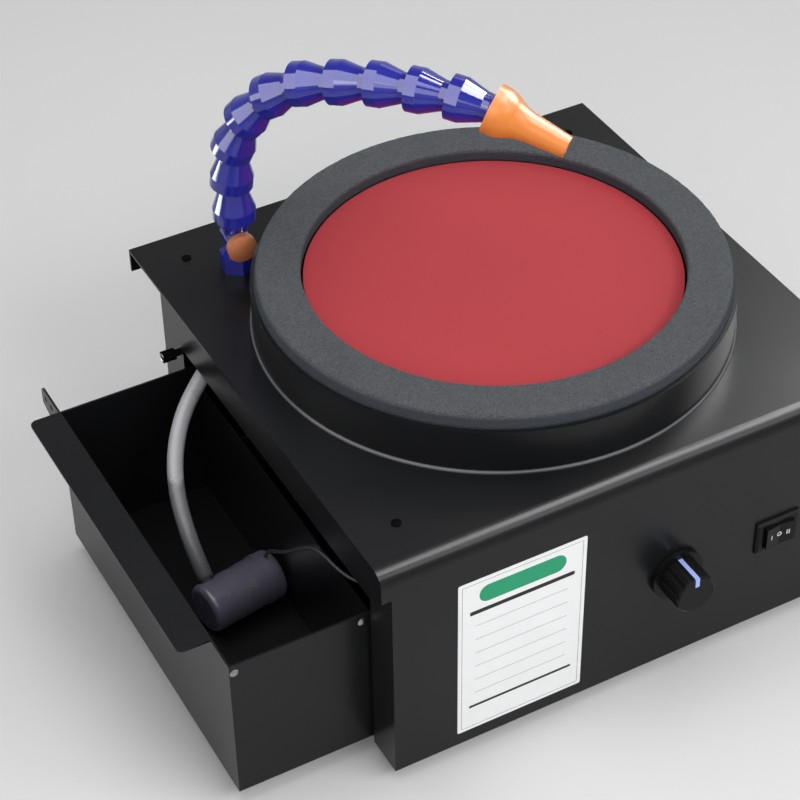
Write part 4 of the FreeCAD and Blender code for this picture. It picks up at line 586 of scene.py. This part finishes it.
def pick(group, test):
    """Selects the vertices, edges or faces of the open piece that pass a test."""
    mesh = bmesh.from_edit_mesh(bpy.context.object.data)
    bpy.ops.mesh.select_all(action="DESELECT")
    for part in getattr(mesh, group):
        part.select_set(test(part))
    bmesh.update_edit_mesh(bpy.context.object.data)


def apply_place():
    """Puts the active piece's place and size into its mesh."""
    bpy.ops.object.transform_apply(location=True, rotation=True, scale=True)


def box_piece(name, low, high):
    """A block between two corners."""
    begin()
    bpy.ops.mesh.primitive_cube_add(size=1.0, location=(low + high) / 2)
    piece = name_piece(name)
    piece.scale = high - low
    apply_place()
    return piece


def apply_modifier(piece, kind, **settings):
    """Adds a modifier to a piece and applies it."""
    modifier = piece.modifiers.new(kind.lower(), kind)
    for name, setting in settings.items():
        setattr(modifier, name, setting)
    bpy.context.view_layer.objects.active = piece
    bpy.ops.object.modifier_apply(modifier=modifier.name)


def dress(piece, material, body):
    """Gives a finished piece its material and the body that it moves with."""
    paint(piece, material)
    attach(piece, body)


def foam_profile():
    """The foam ring's section as a closed outline of short edges, with rounded corners."""
    low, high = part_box("foam_ring")
    middle = Vector(((FOAM_INNER + high.x) / 2, 0, (low.z + high.z) / 2))
    begin()
    bpy.ops.mesh.primitive_plane_add(size=1.0, location=middle, rotation=(math.pi / 2, 0, 0))
    piece = name_piece("foam_splash_ring")
    piece.scale = (high.x - FOAM_INNER, high.z - low.z, 1.0)
    apply_place()
    edit("VERT")
    pick("verts", lambda vertex: vertex.co.x > middle.x and vertex.co.z > middle.z)
    bpy.ops.transform.translate(value=(-FOAM_LEAN, 0, 0))
    pick("verts", lambda vertex: vertex.co.z > middle.z)
    bpy.ops.mesh.bevel(offset=FOAM_EDGE, segments=FOAM_EDGE_STEPS, affect="VERTICES")
    bpy.ops.mesh.select_all(action="SELECT")
    bpy.ops.mesh.delete(type="ONLY_FACE")
    for cuts in FOAM_CUTS:
        bpy.ops.mesh.select_mode(type="EDGE")
        pick("edges", lambda edge: edge.calc_length() > 2 * FOAM_CELL)
        bpy.ops.mesh.subdivide(number_cuts=cuts)
    return piece


def foam_ring():
    """The foam splash ring: its section spun about the spindle, then roughened by its cells."""
    piece = foam_profile()
    bpy.ops.mesh.select_all(action="SELECT")
    bpy.ops.mesh.spin(steps=FOAM_STEPS, angle=2 * math.pi, center=(0, 0, 0), axis=(0, 0, 1))
    bpy.ops.mesh.select_all(action="SELECT")
    bpy.ops.mesh.remove_doubles(threshold=FOAM_MERGE)
    bpy.ops.mesh.normals_make_consistent(inside=False)
    leave_edit()
    bpy.ops.object.shade_smooth()
    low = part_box("foam_ring")[0]
    free = piece.vertex_groups.new(name="free_surface")
    free.add([v.index for v in piece.data.vertices if v.co.z > low.z + FOAM_EDGE], 1.0, "REPLACE")
    texture = bpy.data.textures.new("foam_cells", "CLOUDS")
    texture.noise_scale = FOAM_GRAIN
    apply_modifier(piece, "DISPLACE", texture=texture, strength=FOAM_ROUGHNESS, vertex_group=free.name)
    dress(piece, finishes["foam"], "case")
    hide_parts("foam_ring")


def route_curve(route):
    """A smooth curve with a cord's route as its control points."""
    curve = bpy.data.curves.new("route", "CURVE")
    curve.dimensions = "3D"
    curve.resolution_u = CORD_SMOOTHNESS
    spline = curve.splines.new("NURBS")
    spline.points.add(len(route) - 1)
    for point, place in zip(spline.points, route):
        point.co = (*place, 1.0)
    spline.order_u = 3
    spline.use_endpoint_u = True
    return curve


def mesh_of(curve):
    """The mesh that a curve gives."""
    holder = bpy.data.objects.new("holder", curve)
    bpy.context.scene.collection.objects.link(holder)
    shape = holder.evaluated_get(bpy.context.evaluated_depsgraph_get())
    mesh = bpy.data.meshes.new_from_object(shape)
    bpy.data.objects.remove(holder)
    return mesh


def cord_piece(name, route, radius, capped):
    """A round tube along a cord's route, and the points on its middle line."""
    curve = route_curve(route)
    path = [vertex.co.copy() for vertex in mesh_of(curve).vertices]
    curve.bevel_depth = radius
    curve.bevel_resolution = CORD_ROUNDNESS
    curve.use_fill_caps = capped
    piece = bpy.data.objects.new(name, mesh_of(curve))
    piece.data.name = name
    bpy.context.scene.collection.objects.link(piece)
    begin()
    bpy.context.view_layer.objects.active = piece
    piece.select_set(True)
    edit("VERT")
    bpy.ops.mesh.select_all(action="SELECT")
    bpy.ops.mesh.remove_doubles(threshold=CORD_MERGE)
    bpy.ops.mesh.normals_make_consistent(inside=False)
    leave_edit()
    bpy.ops.object.shade_smooth_by_angle(angle=SMOOTH_ANGLE)
    return piece, path


def water_hose():
    """The clear hose from the pump to the valve."""
    piece, path = cord_piece("clear_water_hose", HOSE_ROUTE, HOSE_RADIUS, capped=False)
    apply_modifier(piece, "SOLIDIFY", thickness=HOSE_WALL, offset=-1.0)
    paint(piece, finishes["clear_hose"])
    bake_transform(piece)
    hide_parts("water_hose")


def pump_wire():
    """The pump's thin wire, which runs along the drawer up to the tank's low inner wall."""
    piece, path = cord_piece("pump_lead", WIRE_ROUTE, WIRE_RADIUS, capped=True)
    paint(piece, finishes["wire_sheath"])
    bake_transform(piece)
    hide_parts("pump_wire")


def round_upright_corners(radius, steps):
    """Bevels the four edges of the open front piece that run from front to back."""
    pick("edges", lambda edge: abs(edge.verts[0].co.y - edge.verts[1].co.y) > PRINT_THICKNESS / 2)
    bpy.ops.mesh.bevel(offset=radius, segments=steps, affect="EDGES")


def front_slab(name, left, right, bottom, top, behind, thickness, corner, steps):
    """A thin slab on the front face with rounded corners."""
    piece = box_piece(name, Vector((left, behind - thickness, bottom)), Vector((right, behind, top)))
    edit("EDGE")
    round_upright_corners(corner, steps)
    leave_edit()
    return piece


def joined(name, pieces):
    """Several pieces made into one."""
    begin()
    for piece in pieces:
        piece.select_set(True)
    bpy.context.view_layer.objects.active = pieces[0]
    bpy.ops.object.join()
    return name_piece(name)


def front_line(left, right, height, behind, line):
    """One thin printed line across the front plate."""
    return front_slab(
        "line", left, right, height - line / 2, height + line / 2, behind, PRINT_THICKNESS, line / 4,
        LINE_CORNER_STEPS,
    )


def front_plate():
    """The white plate on the front face, with a title bar, rules and blank rows."""
    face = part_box("deck_cover")[0].y
    plate = front_slab(
        "front_plate", PLATE_LEFT, PLATE_RIGHT, PLATE_BOTTOM, PLATE_TOP, face, PLATE_THICKNESS,
        PLATE_CORNER, PLATE_CORNER_STEPS,
    )
    dress(plate, printed("plate_white", (0.84, 0.85, 0.85), (0.90, 0.90, 0.91)), "case")
    printed_face = face - PLATE_THICKNESS
    middle = (PLATE_LEFT + PLATE_RIGHT) / 2
    title_height = PLATE_TOP - TITLE_DROP
    title = front_slab(
        "plate_title_bar", middle - TITLE_WIDTH / 2, middle + TITLE_WIDTH / 2,
        title_height - TITLE_HEIGHT / 2, title_height + TITLE_HEIGHT / 2,
        printed_face, PRINT_THICKNESS, TITLE_CORNER, TITLE_CORNER_STEPS,
    )
    dress(title, printed("title_green", (0.006, 0.300, 0.135), (0.010, 0.345, 0.160)), "case")
    left, right = middle - RULE_WIDTH / 2, middle + RULE_WIDTH / 2
    upper, lower = PLATE_TOP - UPPER_RULE_DROP, PLATE_TOP - LOWER_RULE_DROP
    rules = [
        front_line(left, right, upper, printed_face, UPPER_RULE_LINE),
        front_line(left, right, lower, printed_face, LOWER_RULE_LINE),
    ]
    dress(joined("plate_rules", rules), printed("rule_black", (0.002,) * 3, (0.005,) * 3), "case")
    pitch = (upper - lower) / (ROW_COUNT + 1)
    heights = [lower + pitch * (row + 1) for row in range(ROW_COUNT)]
    left, right = left + ROW_INSET, right - ROW_INSET
    rows = [front_line(left, right, height, printed_face, ROW_LINE) for height in heights]
    rows += frame_lines(printed_face)
    dress(joined("plate_rows", rows), printed("row_grey", (0.16, 0.16, 0.17), (0.22, 0.22, 0.23)), "case")


def frame_lines(printed_face):
    """The thin printed frame just inside the plate's edge."""
    left, right = PLATE_LEFT + FRAME_INSET, PLATE_RIGHT - FRAME_INSET
    bottom, top = PLATE_BOTTOM + FRAME_INSET, PLATE_TOP - FRAME_INSET
    lines = [front_line(left, right, height, printed_face, FRAME_LINE) for height in (bottom, top)]
    for x in (left, right):
        lines.append(front_slab(
            "line", x - FRAME_LINE / 2, x + FRAME_LINE / 2, bottom + FRAME_LINE, top - FRAME_LINE,
            printed_face, PRINT_THICKNESS, FRAME_LINE / 4, LINE_CORNER_STEPS,
        ))
    return lines


def mark_bar(x, height, front):
    """One upright bar of a switch mark, cut across so that it can lie on the rocker."""
    begin()
    bpy.ops.mesh.primitive_plane_add(size=1.0, location=(x, front, height), rotation=(math.pi / 2, 0, 0))
    piece = name_piece("mark")
    piece.scale = (MARK_LINE, MARK_HEIGHT, 1.0)
    apply_place()
    edit("EDGE")
    bpy.ops.mesh.select_all(action="SELECT")
    bpy.ops.mesh.subdivide(number_cuts=MARK_CUTS)
    leave_edit()
    return piece


def mark_ring(x, height, front):
    """The ring of the switch's off mark."""
    begin()
    bpy.ops.mesh.primitive_circle_add(
        vertices=RING_STEPS, radius=MARK_HEIGHT / 2, fill_type="NGON", location=(x, front, height),
        rotation=(math.pi / 2, 0, 0),
    )
    piece = name_piece("mark")
    apply_place()
    edit("FACE")
    bpy.ops.mesh.select_all(action="SELECT")
    bpy.ops.mesh.inset(thickness=MARK_LINE)
    bpy.ops.mesh.delete(type="FACE")
    leave_edit()
    return piece


def switch_marks():
    """White marks for forward, off and reverse, printed on the rocker."""
    low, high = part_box("switch_rocker")
    middle = (low + high) / 2
    front = low.y - MARK_HEIGHT
    pieces = [mark_bar(middle.x - MARK_REACH, middle.z, front), mark_ring(middle.x, middle.z, front)]
    pieces += [mark_bar(middle.x + MARK_REACH + side * MARK_GAP / 2, middle.z, front) for side in (-1, 1)]
    piece = joined("switch_marks", pieces)
    apply_modifier(
        piece, "SHRINKWRAP", target=frame["nodes"]["switch_rocker"], wrap_method="PROJECT",
        use_project_y=True, use_negative_direction=True, use_positive_direction=True, offset=MARK_PROUD,
        wrap_mode="ABOVE_SURFACE",
    )
    apply_modifier(piece, "SOLIDIFY", thickness=MARK_PROUD, offset=0.0)
    dress(piece, printed("mark_white", (0.50, 0.50, 0.52), (0.60, 0.60, 0.62)), "rocker")


def thumb_screw_end():
    """The bright dished end of the thumb screw."""
    low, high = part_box("thumb_screw")
    middle = (low + high) / 2
    begin()
    bpy.ops.mesh.primitive_cylinder_add(
        vertices=TIP_STEPS, radius=TIP_RADIUS, depth=TIP_PROUD, location=(low.x, middle.y, middle.z),
        rotation=(0, math.pi / 2, 0),
    )
    piece = name_piece("thumb_screw_end")
    apply_place()
    edit("FACE")
    outer = low.x - TIP_PROUD / 4
    pick("faces", lambda face: face.calc_center_median().x < outer)
    bpy.ops.mesh.inset(thickness=TIP_RIM)
    bpy.ops.transform.translate(value=(TIP_DISH, 0, 0))
    bpy.ops.mesh.inset(thickness=TIP_RIM)
    leave_edit()
    apply_modifier(piece, "BEVEL", width=TIP_DISH / 2, segments=3, limit_method="ANGLE")
    bpy.ops.object.shade_smooth_by_angle(angle=SMOOTH_ANGLE)
    dress(piece, finishes["bright_screw"], "thumb_lock")


def pale_floor():
    """The plain pale floor."""
    begin()
    bpy.ops.mesh.primitive_plane_add(size=FLOOR_SIZE)
    floor = name_piece("floor")
    finish = Finish("floor", {"Roughness": 0.9, "Specular IOR Level": 0.0})
    cloud = finish.noise(3.0)
    finish.wear({"Base Color": finish.mixed(cloud, (FLOOR_DARK,) * 3, (FLOOR_LIGHT,) * 3)})
    floor.data.materials.append(finish.material)


def softbox(name, place, size, power):
    """A rectangular lamp that faces the machine."""
    lamp = bpy.data.lights.new(name, "AREA")
    lamp.shape = "RECTANGLE"
    lamp.size, lamp.size_y = size
    lamp.energy = power
    holder = bpy.data.objects.new(name, lamp)
    bpy.context.scene.collection.objects.link(holder)
    holder.location = place
    holder.rotation_euler = (LAMP_AIM - Vector(place)).to_track_quat("-Z", "Y").to_euler()
    return holder


def studio_light():
    """Soft lamps, bright panels that only show in glossy faces, and a pale world."""
    lamps = {name: softbox(name, *settings) for name, settings in LAMPS.items()}
    lamps["overhead"].visible_glossy = False
    for name, settings in PANELS.items():
        panel = softbox(name, *settings)
        panel.visible_diffuse = False
        panel.visible_camera = False
    world = bpy.data.worlds.new("studio")
    world.use_nodes = True
    tree = world.node_tree
    direction = add_node(tree, "TexCoord", output="Generated")
    height = add_node(tree, "SeparateXYZ", sockets={"Vector": direction}, output="Z")
    ramp = add_node(tree, "ValToRGB", {"stops": (
        (0.0, HORIZON_GREY), (HORIZON_TOP, HORIZON_GREY), (ZENITH_FOOT, ZENITH_GREY),
    )}, {"Fac": height})
    feed(tree.nodes["Background"].inputs["Color"], ramp)
    bpy.context.scene.world = world


def photo_camera():
    """The camera at the photograph's place and angle."""
    lens = bpy.data.cameras.new("photo_camera")
    lens.lens = LENS
    lens.sensor_width = SENSOR
    lens.sensor_fit = "HORIZONTAL"
    camera = bpy.data.objects.new("photo_camera", lens)
    bpy.context.scene.collection.objects.link(camera)
    turn = (
        Matrix.Rotation(VIEW_AZIMUTH, 4, "Z")
        @ Matrix.Rotation(math.pi / 2 - VIEW_ELEVATION, 4, "X")
        @ Matrix.Rotation(VIEW_ROLL, 4, "Z")
    )
    backwards = turn.to_3x3() @ Vector((0, 0, 1))
    camera.matrix_world = Matrix.Translation(VIEW_TARGET + backwards * VIEW_DISTANCE) @ turn
    bpy.context.scene.camera = camera


with open("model.json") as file:
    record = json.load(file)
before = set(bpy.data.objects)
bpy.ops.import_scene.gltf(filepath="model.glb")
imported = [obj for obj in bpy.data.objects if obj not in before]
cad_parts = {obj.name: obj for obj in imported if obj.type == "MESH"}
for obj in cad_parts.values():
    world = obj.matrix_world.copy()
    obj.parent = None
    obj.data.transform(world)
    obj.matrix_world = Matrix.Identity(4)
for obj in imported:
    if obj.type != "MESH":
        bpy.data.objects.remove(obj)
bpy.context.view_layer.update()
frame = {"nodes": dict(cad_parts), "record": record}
finishes = dress_packed_parts()
foam_ring()
water_hose()
pump_wire()
front_plate()
switch_marks()
thumb_screw_end()
pale_floor()
studio_light()
photo_camera()
bpy.context.scene.view_settings.view_transform = "Standard"
